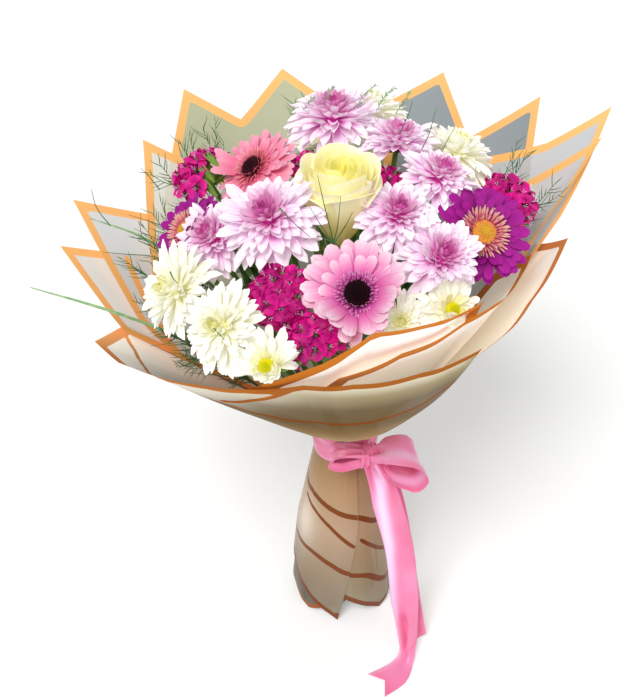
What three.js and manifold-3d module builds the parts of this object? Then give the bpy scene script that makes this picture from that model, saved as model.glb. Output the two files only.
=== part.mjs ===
// Mixed flower bouquet: hand-tied flowers in a film wrap with a satin ribbon, standing on its stem ends.
// Millimetres, +Z up. The origin is the middle of the foot, on the surface. The front faces -Y.
import * as THREE from 'three';
import { mergeVertices } from 'three/addons/utils/BufferGeometryUtils.js';
import Module from 'manifold-3d';

const wasm = await Module();
wasm.setup();

// Driving dimensions
const TIE_HEIGHT = 240;
const TIE = new THREE.Vector3(0, 0, TIE_HEIGHT);
const NECK_LOW = 222;
const NECK_HIGH = 258;
const FILM_THICKNESS = 0.65;
const FILM_NECK_RADIUS = 22.15;
const FILM_LAYER_STEP = 1.25;
const HIDDEN_FILM_END = 218;
const STEM_RADIUS = 2.3;
const STEM_RING_RADIUS = 9.8;
const BUNDLE_RADIUS = 16.6;
const BUNDLE_HEIGHT = 24;
const GREENERY_RING_RADIUS = 18.8;
const GREENERY_BEND_RADIUS = 21.4;
const GREENERY_FOOT_RADIUS = 42;
const TWINE_INNER_RADIUS = 20.8;
const TWINE_OUTER_RADIUS = 22.7;
const TWINE_HEIGHT = 9;
const RIBBON_THICKNESS = 1.2;
const BAND_INNER_RADIUS = 31.1;
const BAND_OUTER_RADIUS = 32.5;
const SEAT_GAP = 0.3;
const RANDOM_SEED = 20;

const COLOURS = {
  lilac: 0xd9a8d8,
  white: 0xf8f5e4,
  pink: 0xe88cc8,
  salmon: 0xf58aa0,
  magenta: 0xa8009c,
  cream: 0xfbf5d0,
  carmine: 0xc4007a,
  stem: 0x4f7f3a,
  fern: 0x3f7a4a,
  darkEye: 0x2c1018,
  yellowEye: 0xe8d820,
  bud: 0xc8c030,
  film: 0xe4d8c4,
  ribbon: 0xf58fb8,
  twine: 0xb59a6a,
};

const DEG = Math.PI / 180;
const part = new THREE.Group();

// Seeded random numbers, one stream for each piece
function randomStream(seed) {
  let state = seed * 2654435761 % 4294967296;
  return () => {
    state = (state * 1664525 + 1013904223) % 4294967296;
    return state / 4294967296;
  };
}

// A direction by its lean from upright and its turn round the axis: 0 is the front, 90 is +X
function direction(lean, around) {
  const slope = Math.sin(lean * DEG);
  return new THREE.Vector3(
    slope * Math.sin(around * DEG),
    -slope * Math.cos(around * DEG),
    Math.cos(lean * DEG),
  );
}

function ringPoint(radius, around, height) {
  return new THREE.Vector3(radius * Math.sin(around * DEG), -radius * Math.cos(around * DEG), height);
}

// Solids and meshes
function solid(points, faces) {
  const vertProperties = new Float32Array(points.flatMap((p) => [p.x, p.y, p.z]));
  const triVerts = new Uint32Array(faces.flat());
  return new wasm.Manifold(new wasm.Mesh({ numProp: 3, vertProperties, triVerts }));
}

function solidOf(geometry) {
  const bare = geometry.clone();
  bare.deleteAttribute('normal');
  bare.deleteAttribute('uv');
  const merged = mergeVertices(bare, 1e-4);
  const vertProperties = new Float32Array(merged.attributes.position.array);
  const triVerts = new Uint32Array(merged.index.array);
  return new wasm.Manifold(new wasm.Mesh({ numProp: 3, vertProperties, triVerts }));
}

// Joins solids into one body: loose scraps are dropped and sealed hollows are filled
function fuse(solids) {
  let joined = solids[0];
  for (const next of solids.slice(1)) joined = joined.add(next);
  const bodies = joined.decompose();
  bodies.sort((a, b) => b.volume() - a.volume());
  return bodies[0];
}

function geometryOf(body) {
  const mesh = body.getMesh();
  const geometry = new THREE.BufferGeometry();
  const position = new Float32Array(mesh.vertProperties);
  geometry.setAttribute('position', new THREE.BufferAttribute(position, 3));
  geometry.setIndex(new THREE.BufferAttribute(new Uint32Array(mesh.triVerts), 1));
  geometry.computeVertexNormals();
  return geometry;
}

function addMesh(name, geometry, colour, roughness, parent = part) {
  const material = new THREE.MeshStandardMaterial({ color: colour, roughness, metalness: 0 });
  const mesh = new THREE.Mesh(geometry, material);
  mesh.name = name;
  parent.add(mesh);
  return mesh;
}

// A closed tube through rings: each ring has a centre, a normal and a radius
function tubeSolid(rings, sides) {
  const points = [];
  const faces = [];
  let side = null;
  for (const ring of rings) {
    const normal = ring.normal.clone().normalize();
    const guide = side ? side : new THREE.Vector3(1, 0.3, 0);
    side = guide.clone().addScaledVector(normal, -guide.dot(normal)).normalize();
    const other = new THREE.Vector3().crossVectors(normal, side);
    for (let k = 0; k < sides; k += 1) {
      const turn = (k / sides) * 2 * Math.PI;
      points.push(ring.centre.clone()
        .addScaledVector(side, ring.radius * Math.cos(turn))
        .addScaledVector(other, ring.radius * Math.sin(turn)));
    }
  }
  for (let i = 0; i + 1 < rings.length; i += 1) {
    for (let k = 0; k < sides; k += 1) {
      const a = i * sides + k;
      const b = i * sides + ((k + 1) % sides);
      faces.push([a, b, b + sides], [a, b + sides, a + sides]);
    }
  }
  const last = (rings.length - 1) * sides;
  for (let k = 1; k + 1 < sides; k += 1) {
    faces.push([0, k + 1, k], [last, last + k, last + k + 1]);
  }
  return solid(points, faces);
}

// The flowers. A head sits at a turn round the axis and a lean from upright, seen from the tie,
// and its face leans and turns in the same way: mostly it looks away from the axis.
// [name, kind, colour, around, lean, reach from the tie, radius, lean of the face, turn of the face]
const FLOWERS = [
  ['lilac_mum_top', 'mum', 'lilac', -168, 12.5, 314, 40, 4],
  ['lilac_mum_left', 'mum', 'lilac', -45, 17, 308, 40, 26],
  ['lilac_mum_left_low', 'mum', 'lilac', -66, 24, 291, 34, 40],
  ['lilac_mum_upper_right', 'mum', 'lilac', 137, 11, 304, 33, 10],
  ['lilac_mum_right', 'mum', 'lilac', 84, 13.5, 304, 32, 18],
  ['lilac_mum_centre', 'mum', 'lilac', 32, 12.5, 299, 33, 18],
  ['lilac_mum_low_right', 'mum', 'lilac', 38, 21.5, 294, 34, 32],
  ['lilac_mum_rear', 'mum', 'lilac', -142, 27, 274, 31, 38],
  ['white_mum_top', 'mum', 'white', 170, 19, 312, 32, 18],
  ['white_mum_upper_right', 'mum', 'white', 120, 20.5, 300, 34, 22],
  ['white_mum_left', 'mum', 'white', -56, 33.5, 298, 35, 50],
  ['white_mum_left_front', 'mum', 'white', -36, 34, 298, 33, 48],
  ['white_mum_front', 'mum', 'white', -21, 37, 292, 30, 46],
  ['white_mum_right_front', 'mum', 'white', 33, 29, 279, 30, 42],
  ['white_mum_low_centre', 'mum', 'white', 15, 28.4, 280, 25, 42],
  ['white_mum_rear', 'mum', 'white', -170, 30, 274, 30, 42],
  ['pink_gerbera', 'gerbera', 'pink', 1, 25, 301, 41, 42],
  ['salmon_gerbera', 'gerbera', 'salmon', -100, 15.5, 301, 37, 38, -62],
  ['magenta_gerbera_right', 'gerbera', 'magenta', 66, 23, 292, 39, 38, 14],
  ['magenta_gerbera_left', 'gerbera', 'magenta', -80, 28, 288, 33, 46, -62],
  ['cream_rose', 'rose', 'cream', -14, 7.5, 298, 33, 2],
  ['carmine_dianthus_left', 'dianthus', 'carmine', -103, 24.5, 301, 31, 30],
  ['carmine_dianthus_centre', 'dianthus', 'carmine', -26, 26, 287, 28, 34],
  ['carmine_dianthus_front', 'dianthus', 'carmine', -11, 32, 281, 28, 42],
  ['carmine_dianthus_right', 'dianthus', 'carmine', 98, 28, 290, 28, 34],
  ['carmine_dianthus_mid_left', 'dianthus', 'carmine', -118, 7, 290, 20, 9],
  ['carmine_dianthus_mid_right', 'dianthus', 'carmine', 95, 6, 284, 20, 8],
  ['carmine_dianthus_rear', 'dianthus', 'carmine', 143, 29, 276, 27, 38],
  ['mum_bud', 'bud', 'bud', -64, 29, 292, 8, 34],
].map(([name, kind, colour, around, lean, reach, radius, face, faceTurn = around]) => (
  { name, kind, colour, around, lean, reach, radius, face, faceTurn }
));

const EYES = {
  pink_gerbera: 'darkEye',
  salmon_gerbera: 'darkEye',
  magenta_gerbera_right: 'yellowEye',
  magenta_gerbera_left: 'yellowEye',
  white_mum_front: 'yellowEye',
  white_mum_right_front: 'yellowEye',
};

for (const flower of FLOWERS) {
  flower.eye = EYES[flower.name];
  flower.toward = direction(flower.lean, flower.around);
  flower.centre = TIE.clone().addScaledVector(flower.toward, flower.reach);
  flower.normal = direction(flower.face, flower.faceTurn);
  const across = new THREE.Vector3(0, 0, 1).cross(flower.normal).normalize();
  const up = new THREE.Vector3().crossVectors(flower.normal, across);
  flower.frame = new THREE.Matrix4().makeBasis(across, up, flower.normal).setPosition(flower.centre);
}

// Each head keeps to its own side of the planes that part it from its neighbours.
// The planes pass through the tie, so they part the stems too.
const NEIGHBOUR_ANGLE = 24 * DEG;
for (const flower of FLOWERS) {
  flower.planes = [];
  for (const other of FLOWERS) {
    const apart = flower.toward.angleTo(other.toward);
    if (other === flower || apart > NEIGHBOUR_ANGLE) continue;
    const share = (apart * flower.radius) / (flower.radius + other.radius);
    const sideways = other.toward.clone()
      .addScaledVector(flower.toward, -other.toward.dot(flower.toward))
      .normalize();
    flower.planes.push(flower.toward.clone().multiplyScalar(Math.sin(share))
      .addScaledVector(sideways, -Math.cos(share)));
  }
}

// The wrap: each sheet's rim corners are [around, slant length from the neck, flare angle]
const SHEETS = [
  { name: 'film_front_inner', layer: 1,
    rim: [[-42, 190, 42], [-24, 236, 39], [-8, 262, 34.8], [4, 310, 31.4], [22, 292, 30.6], [42, 268, 30],
      [54, 215, 29.2]] },
  { name: 'film_left_inner', layer: 2,
    rim: [[-150, 215, 41], [-126, 308, 43.4], [-98, 205, 47.6], [-78, 155, 47.4]] },
  { name: 'film_front_right', layer: 2,
    rim: [[-12, 205, 37.4], [-4, 236, 36], [14, 246, 33], [38, 254, 31.6], [78, 254, 31], [92, 205, 31.6]] },
  { name: 'film_rear', layer: 3,
    rim: [[-195, 250, 39], [-165, 326, 40.8], [-152, 286, 41.8], [-142, 330, 42.8], [-118, 238, 46.8]],
    foot: [[-195, 26], [-160, 4], [-118, 18]] },
  { name: 'film_right_inner', layer: 3,
    rim: [[84, 215, 32.4], [94, 250, 33.2], [107, 335, 36.2], [119, 262, 37], [130, 228, 37.4]] },
  { name: 'film_left', layer: 4,
    rim: [[-122, 235, 47.6], [-107, 306, 49.4], [-88, 205, 51], [-78, 165, 50.6], [-74, 8, 50], [0, 8, 35]],
    foot: [[-122, 26], [-42, 1.5], [0, 26]] },
  { name: 'film_right', layer: 4,
    rim: [[90, 225, 34.6], [98, 268, 36], [113, 357, 37.8], [122, 300, 38.3], [140, 255, 38.8]] },
  { name: 'film_left_low', layer: 5,
    rim: [[-114, 210, 50.6], [-98, 290, 52.4], [-82, 212, 52.4]] },
  { name: 'film_rear_right', layer: 5,
    rim: [[118, 245, 39.6], [132, 333, 39.8], [145, 272, 40.2], [157, 326, 40.8], [192, 250, 41.8]],
    foot: [[118, 20], [150, 4], [192, 22]] },
  { name: 'film_right_outer', layer: 5,
    rim: [[-12, 8, 37], [34, 8, 34.4], [38, 212, 34.4], [50, 225, 34], [66, 240, 33.8], [86, 270, 34.8],
      [102, 228, 38]],
    foot: [[-12, 44], [45, 1.5], [102, 26]] },
  { name: 'film_front_outer', layer: 6,
    rim: [[-96, 8, 54], [-88, 208, 54.4], [-76, 242, 54.4], [-66, 234, 52], [-58, 228, 48.6], [-42, 222, 43.4],
      [-31, 222, 40.6], [-14, 228, 37.6], [0, 230, 36.6], [20, 230, 36], [42, 226, 36]],
    foot: [[-96, 62], [-6, 1.5], [18, 135], [21, 212], [42, 214]] },
];

// How far the sleeve stands out from the neck at a height
const SLEEVE_BEND = 115;
const SLEEVE_PROFILE = [[222, 0], [SLEEVE_BEND, 18], [0, 28]];
const COLUMN_STEP = 14;
const CORNER_CLEARANCE = 4;

function between(table, at, column) {
  const last = table.length - 1;
  for (let i = 0; i < last; i += 1) {
    const [low, high] = [table[i], table[i + 1]];
    const inside = (at - low[0]) * (at - high[0]) <= 0;
    if (!inside) continue;
    const share = (at - low[0]) / (high[0] - low[0]);
    return low[column] + (high[column] - low[column]) * share;
  }
  const nearFirst = Math.abs(at - table[0][0]) < Math.abs(at - table[last][0]);
  return nearFirst ? table[0][column] : table[last][column];
}

// The cut edge between two corners is straight on the flat sheet, which is rolled into a cone
function rimSlant(rim, around) {
  for (let i = 0; i + 1 < rim.length; i += 1) {
    const [[fromAngle, fromSlant, fromFlare], [toAngle, toSlant, toFlare]] = [rim[i], rim[i + 1]];
    if (around < fromAngle || around > toAngle) continue;
    const unroll = Math.sin(((fromFlare + toFlare) / 2) * DEG) * DEG;
    const before = Math.sin((around - fromAngle) * unroll);
    const after = Math.sin((toAngle - around) * unroll);
    const whole = Math.sin((toAngle - fromAngle) * unroll);
    return (fromSlant * toSlant * whole) / (fromSlant * before + toSlant * after);
  }
  return rim[0][1];
}

function sheetColumns(sheet) {
  const corners = [...sheet.rim, ...(sheet.foot ?? [])].map((corner) => corner[0]);
  const columns = [...new Set(corners)];
  const [first, last] = [sheet.rim[0][0], sheet.rim[sheet.rim.length - 1][0]];
  for (let at = Math.ceil(first / COLUMN_STEP) * COLUMN_STEP; at < last; at += COLUMN_STEP) {
    if (corners.every((corner) => Math.abs(corner - at) >= CORNER_CLEARANCE)) columns.push(at);
  }
  return columns.sort((a, b) => a - b);
}

function sheetGeometry(sheet) {
  const neck = FILM_NECK_RADIUS + FILM_LAYER_STEP * sheet.layer;
  const points = [];
  const columns = sheetColumns(sheet);
  let rows = 0;
  for (const around of columns) {
    const slant = rimSlant(sheet.rim, around);
    const flare = between(sheet.rim, around, 2) * DEG;
    const rimRadius = neck + slant * Math.sin(flare);
    const rimHeight = NECK_HIGH + slant * Math.cos(flare);
    const column = [
      [rimRadius, rimHeight, FILM_THICKNESS / Math.cos(flare)],
      [neck, NECK_HIGH, FILM_THICKNESS],
    ];
    const end = sheet.foot ? between(sheet.foot, around, 1) : HIDDEN_FILM_END;
    const bend = end < SLEEVE_BEND - 10 ? SLEEVE_BEND : (NECK_LOW + end) / 2;
    for (const height of sheet.foot ? [NECK_LOW, bend, end] : [NECK_LOW, end]) {
      column.push([neck + between(SLEEVE_PROFILE, height, 1), height, FILM_THICKNESS]);
    }
    rows = column.length;
    for (const [radius, height] of column) points.push(ringPoint(radius, around, height));
    for (const [radius, height, thickness] of column) {
      points.push(ringPoint(radius + thickness, around, height));
    }
  }
  const at = (column, row, outside) => column * rows * 2 + (outside ? rows : 0) + row;
  const faces = [];
  const quad = (a, b, c, d) => faces.push([a, b, c], [a, c, d]);
  for (let i = 0; i + 1 < columns.length; i += 1) {
    for (let k = 0; k + 1 < rows; k += 1) {
      quad(at(i, k, true), at(i, k + 1, true), at(i + 1, k + 1, true), at(i + 1, k, true));
      faces.push([at(i, k, false), at(i + 1, k + 1, false), at(i, k + 1, false)]);
      faces.push([at(i, k, false), at(i + 1, k, false), at(i + 1, k + 1, false)]);
    }
    quad(at(i, 0, false), at(i, 0, true), at(i + 1, 0, true), at(i + 1, 0, false));
    const foot = rows - 1;
    quad(at(i, foot, true), at(i, foot, false), at(i + 1, foot, false), at(i + 1, foot, true));
  }
  for (let k = 0; k + 1 < rows; k += 1) {
    const end = columns.length - 1;
    quad(at(0, k, false), at(0, k + 1, false), at(0, k + 1, true), at(0, k, true));
    quad(at(end, k, true), at(end, k + 1, true), at(end, k + 1, false), at(end, k, false));
  }
  return geometryOf(solid(points, faces));
}

// The flare of the innermost film at an angle, for keeping petals and greenery inside the wrap
function insideWrap(point, margin) {
  const around = Math.atan2(point.x, -point.y) / DEG;
  const radius = Math.hypot(point.x, point.y);
  for (const sheet of SHEETS) {
    for (const turn of [around, around - 360, around + 360]) {
      if (turn < sheet.rim[0][0] || turn > sheet.rim[sheet.rim.length - 1][0]) continue;
      const flare = between(sheet.rim, turn, 2) * DEG;
      const neck = FILM_NECK_RADIUS + FILM_LAYER_STEP * sheet.layer;
      const along = (point.z - NECK_HIGH) / Math.cos(flare);
      if (along > rimSlant(sheet.rim, turn) + margin) continue;
      if (radius > neck + along * Math.sin(flare) - margin) return false;
    }
  }
  return true;
}

const TERRITORY_GAP = 0.35;
const FILM_CLEARANCE = 2.5;

function staysClear(flower, points) {
  return points.every((local) => {
    const point = local.clone().applyMatrix4(flower.frame);
    const fromTie = point.clone().sub(TIE);
    const ownSide = flower.planes.every((plane) => plane.dot(fromTie) > TERRITORY_GAP);
    return ownSide && insideWrap(point, FILM_CLEARANCE);
  });
}

// A head's core: rings of points, each turned half a step, with facets for the petals to grow from
function coreOf(sides, rings, topHeight) {
  const points = [];
  rings.forEach(([radius, height], ring) => {
    for (let k = 0; k < sides; k += 1) {
      const turn = ((k + (ring % 2) / 2) / sides) * 2 * Math.PI;
      points.push(new THREE.Vector3(radius * Math.cos(turn), radius * Math.sin(turn), height));
    }
  });
  const bottom = points.push(new THREE.Vector3(0, 0, rings[0][1])) - 1;
  const top = points.push(new THREE.Vector3(0, 0, topHeight)) - 1;
  const plain = [];
  const seats = [];
  for (let ring = 0; ring + 1 < rings.length; ring += 1) {
    seats.push([]);
    for (let k = 0; k < sides; k += 1) {
      const next = (k + 1) % sides;
      const low = ring * sides;
      const high = low + sides;
      const left = ring % 2 === 0 ? (k + sides - 1) % sides : k;
      const right = ring % 2 === 0 ? k : next;
      const turn = (k + (ring % 2) / 2) / sides;
      seats[ring].push({ keel: low + k, left: high + left, right: high + right, turn });
      plain.push([low + k, low + next, high + right]);
    }
  }
  const rim = (rings.length - 1) * sides;
  for (let k = 0; k < sides; k += 1) {
    const next = (k + 1) % sides;
    plain.push([bottom, next, k], [top, rim + k, rim + next]);
  }
  return { points, plain, seats };
}

// One petal: a keeled blade that grows from a facet, rising at two angles, with a pointed or a blunt tip
function petalPoints(core, seat, petal) {
  const turn = seat.turn * 2 * Math.PI + petal.sway;
  const out = new THREE.Vector3(Math.cos(turn), Math.sin(turn), 0);
  const side = new THREE.Vector3(-Math.sin(turn), Math.cos(turn), 0);
  const along = (angle) => out.clone().multiplyScalar(Math.cos(angle * DEG)).setZ(Math.sin(angle * DEG));
  const under = (angle) => out.clone().multiplyScalar(Math.sin(angle * DEG)).setZ(-Math.cos(angle * DEG));
  const root = [core.points[seat.left], core.points[seat.right], core.points[seat.keel]];
  const start = root[0].clone().add(root[1]).multiplyScalar(0.5);
  const middle = start.clone().addScaledVector(along(petal.rise), petal.length * 0.58);
  const tip = middle.clone().addScaledVector(along(petal.tipRise), petal.length * 0.42);
  const points = [
    ...root,
    middle.clone().addScaledVector(side, -petal.width / 2),
    middle.clone().addScaledVector(side, petal.width / 2),
    middle.clone().addScaledVector(under((petal.rise + petal.tipRise) / 2), petal.keel),
  ];
  if (!petal.blunt) return [...points, tip];
  return [
    ...points,
    tip.clone().addScaledVector(side, -petal.width * 0.24),
    tip.clone().addScaledVector(side, petal.width * 0.24),
  ];
}

const BLADE_FACES = [
  [0, 3, 4], [0, 4, 1],
  [0, 2, 5], [0, 5, 3],
  [1, 4, 5], [1, 5, 2],
];
const POINTED_TIP = [[3, 6, 4], [3, 5, 6], [4, 6, 5]];
const BLUNT_TIP = [[3, 6, 7], [3, 7, 4], [3, 5, 6], [4, 7, 5], [5, 7, 6]];
const ROOT_CAP = [2, 0, 1];

// A petal that would leave its head's room or cross another is raised, then shortened, then left out
const RAISE_STEP = 8;
const STEEPEST = 86;
const SHORTENING = [1, 0.85, 0.7, 0.55];
const CROSSING_VOLUME = 0.004;

function fittedPetal(flower, core, seat, petal, placed) {
  const faces = [...BLADE_FACES, ...(petal.blunt ? BLUNT_TIP : POINTED_TIP)];
  for (const share of SHORTENING) {
    for (let raise = 0; petal.rise + raise <= STEEPEST; raise += RAISE_STEP) {
      const points = petalPoints(core, seat, {
        ...petal,
        length: petal.length * share,
        width: petal.width * (0.4 + 0.6 * share),
        rise: petal.rise + raise,
        tipRise: Math.min(petal.tipRise + raise * 1.1, 96),
      });
      if (!staysClear(flower, points)) continue;
      const blade = solid(points, [...faces, ROOT_CAP]);
      if (placed.some((other) => other.intersect(blade).volume() > CROSSING_VOLUME)) continue;
      placed.push(blade);
      return { points, faces };
    }
  }
  return null;
}

// A head of petals: every row's petals grow from the facets of one band of the core
function petalHead(flower, sides, rings, topHeight, rows) {
  const R = flower.radius;
  const random = randomStream(RANDOM_SEED + FLOWERS.indexOf(flower));
  const core = coreOf(sides, rings.map(([radius, height]) => [radius * R, height * R]), topHeight * R);
  const faces = [...core.plain];
  const points = [...core.points];
  const bare = core.seats.flatMap((row) => row.map((seat) => [seat.keel, seat.right, seat.left]));
  const placed = [solid(core.points, [...core.plain, ...bare])];
  core.seats.forEach((seats, rowNumber) => {
    const row = rows[rowNumber];
    for (const seat of seats) {
      const petal = row && fittedPetal(flower, core, seat, {
        sway: (random() - 0.5) * row.sway,
        rise: row.rise + 8 * (random() - 0.5),
        tipRise: row.tipRise + 12 * (random() - 0.5),
        length: R * row.length * (0.93 + 0.14 * random()),
        width: R * row.width,
        keel: row.keel,
        blunt: row.blunt,
      }, placed);
      if (!petal) {
        faces.push([seat.keel, seat.right, seat.left]);
        continue;
      }
      const root = [seat.left, seat.right, seat.keel];
      const start = points.length - root.length;
      points.push(...petal.points.slice(root.length));
      const place = (index) => (index < root.length ? root[index] : start + index);
      faces.push(...petal.faces.map((face) => face.map(place)));
    }
  });
  return meshGeometry(points, faces);
}

function meshGeometry(points, faces) {
  const geometry = new THREE.BufferGeometry();
  const position = new Float32Array(points.flatMap((p) => [p.x, p.y, p.z]));
  geometry.setAttribute('position', new THREE.BufferAttribute(position, 3));
  geometry.setIndex(faces.flat());
  geometry.computeVertexNormals();
  return geometry;
}

// How deep each kind's core reaches under the head's centre, as a share of the radius
const CORE_DEPTH = { mum: 0.24, gerbera: 0.2, rose: 1.4, dianthus: 0.328, bud: 1 };
const MUM_TOP = 0.25;
const GERBERA_TOP = 0.09;

function mumHead(flower) {
  const rings = [[0.2, -CORE_DEPTH.mum], [0.35, -0.05], [0.35, 0.05], [0.28, 0.16], [0.17, MUM_TOP]];
  const rows = [
    { rise: -4, tipRise: -16, length: 0.68, width: 0.33, keel: 1.6, sway: 0.2 },
    { rise: 15, tipRise: 6, length: 0.62, width: 0.31, keel: 1.6, sway: 0.2 },
    { rise: 38, tipRise: 34, length: 0.5, width: 0.27, keel: 1.5, sway: 0.2 },
    flower.eye ? null : { rise: 62, tipRise: 80, length: 0.34, width: 0.2, keel: 1.4, sway: 0.2 },
  ];
  const sides = flower.radius > 35 ? 9 : 8;
  return petalHead(flower, sides, rings, flower.eye ? MUM_TOP : MUM_TOP + 0.04, rows);
}

function gerberaHead(flower) {
  const rings = [[0.17, -CORE_DEPTH.gerbera], [0.3, -0.05], [0.3, 0.02], [0.26, GERBERA_TOP]];
  const rows = [
    { rise: -2, tipRise: -8, length: 0.72, width: 0.27, keel: 1.5, sway: 0.06, blunt: true },
    { rise: 11, tipRise: 4, length: 0.6, width: 0.25, keel: 1.5, sway: 0.06, blunt: true },
    { rise: 34, tipRise: 20, length: 0.24, width: 0.12, keel: 1.3, sway: 0.06 },
  ];
  return petalHead(flower, 12, rings, GERBERA_TOP, rows);
}

// A head's eye: a low dome with a ring of relief, seated just over the core
function eyeBody(radius, base) {
  const profile = [
    [0, base], [radius * 0.8, base], [radius, base + radius * 0.25], [radius * 0.82, base + radius * 0.5],
    [radius * 0.5, base + radius * 0.38], [radius * 0.3, base + radius * 0.6], [0, base + radius * 0.6],
  ].map(([r, z]) => new THREE.Vector2(r, z));
  const lathe = new THREE.LatheGeometry(profile, 7);
  lathe.rotateX(Math.PI / 2);
  return solidOf(lathe);
}

// A rose: a closed bud and cupped petals in whorls, each a curved patch with two faces
const ROSE_ROWS = 4;
const ROSE_COLUMNS = 3;
const ROSE_PETAL_THICKNESS = 1.4;
const ROSE_SIZES = [1, 0.94, 0.88, 0.82, 0.76];

function rosePetalPoints(turn, spread, size) {
  const points = [];
  for (const thickness of [0, ROSE_PETAL_THICKNESS]) {
    for (let i = 0; i < ROSE_ROWS; i += 1) {
      const rise = i / (ROSE_ROWS - 1);
      for (let k = 0; k < ROSE_COLUMNS; k += 1) {
        const across = (k / (ROSE_COLUMNS - 1)) * 2 - 1;
        const angle = turn + across * spread * (0.55 + 0.45 * rise);
        const lip = size.flare * rise * rise * rise;
        const swell = (size.belly - size.base) * Math.sin(rise * Math.PI * 0.62);
        const radius = size.base + swell + lip + thickness;
        const height = size.low + (size.high - size.low) * rise - across * across * size.droop * rise;
        points.push(new THREE.Vector3(radius * Math.cos(angle), radius * Math.sin(angle), height));
      }
    }
  }
  return points;
}

function rosePetalFaces() {
  const at = (layer, i, k) => layer * ROSE_ROWS * ROSE_COLUMNS + i * ROSE_COLUMNS + k;
  const faces = [];
  const quad = (a, b, c, d) => faces.push([a, b, c], [a, c, d]);
  const lastRow = ROSE_ROWS - 1;
  const lastColumn = ROSE_COLUMNS - 1;
  for (let i = 0; i < lastRow; i += 1) {
    for (let k = 0; k < lastColumn; k += 1) {
      quad(at(1, i, k), at(1, i, k + 1), at(1, i + 1, k + 1), at(1, i + 1, k));
      faces.push([at(0, i, k), at(0, i + 1, k + 1), at(0, i, k + 1)]);
      faces.push([at(0, i, k), at(0, i + 1, k), at(0, i + 1, k + 1)]);
    }
    quad(at(0, i, 0), at(1, i, 0), at(1, i + 1, 0), at(0, i + 1, 0));
    const side = lastColumn;
    quad(at(1, i, side), at(0, i, side), at(0, i + 1, side), at(1, i + 1, side));
  }
  for (let k = 0; k < lastColumn; k += 1) {
    quad(at(0, 0, k), at(0, 0, k + 1), at(1, 0, k + 1), at(1, 0, k));
    quad(at(1, lastRow, k), at(1, lastRow, k + 1), at(0, lastRow, k + 1), at(0, lastRow, k));
  }
  return faces;
}

function roseHead(flower) {
  const R = flower.radius;
  const low = -R * CORE_DEPTH.rose;
  const budProfile = [
    [0, low], [R * 0.26, low], [R * 0.5, low + R * 0.5], [R * 0.48, R * 0.3], [R * 0.22, R * 0.84], [0, R * 0.86],
  ].map(([radius, height]) => new THREE.Vector2(radius, height));
  const bud = new THREE.LatheGeometry(budProfile, 7);
  bud.rotateX(Math.PI / 2);
  const solids = [solidOf(bud)];
  const whorls = [
    { count: 5, spread: 0.72, belly: 0.86, flare: 0.14, high: 0.86, droop: 7, turn: 0.2 },
    { count: 3, spread: 1.05, belly: 0.68, flare: 0.05, high: 0.97, droop: 6, turn: 0.9 },
  ];
  for (const whorl of whorls) {
    for (let i = 0; i < whorl.count; i += 1) {
      for (const share of ROSE_SIZES) {
        const size = {
          base: R * 0.16,
          belly: R * (whorl.belly + 0.03 * (i % 2)) * share,
          flare: R * whorl.flare * share,
          low: low + R * 0.08,
          high: R * whorl.high,
          droop: whorl.droop,
        };
        const turn = whorl.turn + (i / whorl.count) * 2 * Math.PI;
        const points = rosePetalPoints(turn, whorl.spread, size);
        if (!staysClear(flower, points)) continue;
        solids.push(rightSideOut(points, rosePetalFaces()));
        break;
      }
    }
  }
  return geometryOf(fuse(solids));
}

// A cluster head: five-lobed florets, each growing from a facet of a small twenty-sided core
const FACET_NORMAL = new THREE.Vector3(1, 1, 1).normalize();
const FLORET_POINTS = 10;
const FLORET_SIZES = [1, 0.9, 0.8, 0.7, 0.58];

function floretPoints(root, outward, spin, radius, reach) {
  const middle = root[0].clone().add(root[1]).add(root[2]).divideScalar(3);
  const side = root[0].clone().sub(middle);
  side.addScaledVector(outward, -side.dot(outward)).normalize();
  const other = new THREE.Vector3().crossVectors(outward, side);
  const centre = middle.clone().addScaledVector(outward, reach);
  const points = [...root, centre.clone().addScaledVector(outward, -1.6)];
  for (let k = 0; k < FLORET_POINTS; k += 1) {
    const turn = spin + (k / FLORET_POINTS) * 2 * Math.PI;
    const size = k % 2 === 0 ? radius : radius * 0.6;
    points.push(centre.clone()
      .addScaledVector(side, size * Math.cos(turn))
      .addScaledVector(other, size * Math.sin(turn))
      .addScaledVector(outward, k % 2 === 0 ? 0.8 : -0.4));
  }
  return points;
}

// Faces of a floret: root points 0 to 2, the throat 3 and the lobed rim from 4 on
function floretFaces() {
  const rim = (k) => 4 + (k % FLORET_POINTS);
  const splits = [0, 3, 7, FLORET_POINTS];
  const faces = [];
  for (let k = 0; k < FLORET_POINTS; k += 1) faces.push([3, rim(k), rim(k + 1)]);
  for (let corner = 0; corner < 3; corner += 1) {
    const next = (corner + 1) % 3;
    for (let k = splits[corner]; k < splits[corner + 1]; k += 1) {
      faces.push([corner, rim(k + 1), rim(k)]);
    }
    faces.push([corner, next, rim(splits[corner + 1])]);
  }
  return faces;
}

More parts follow.
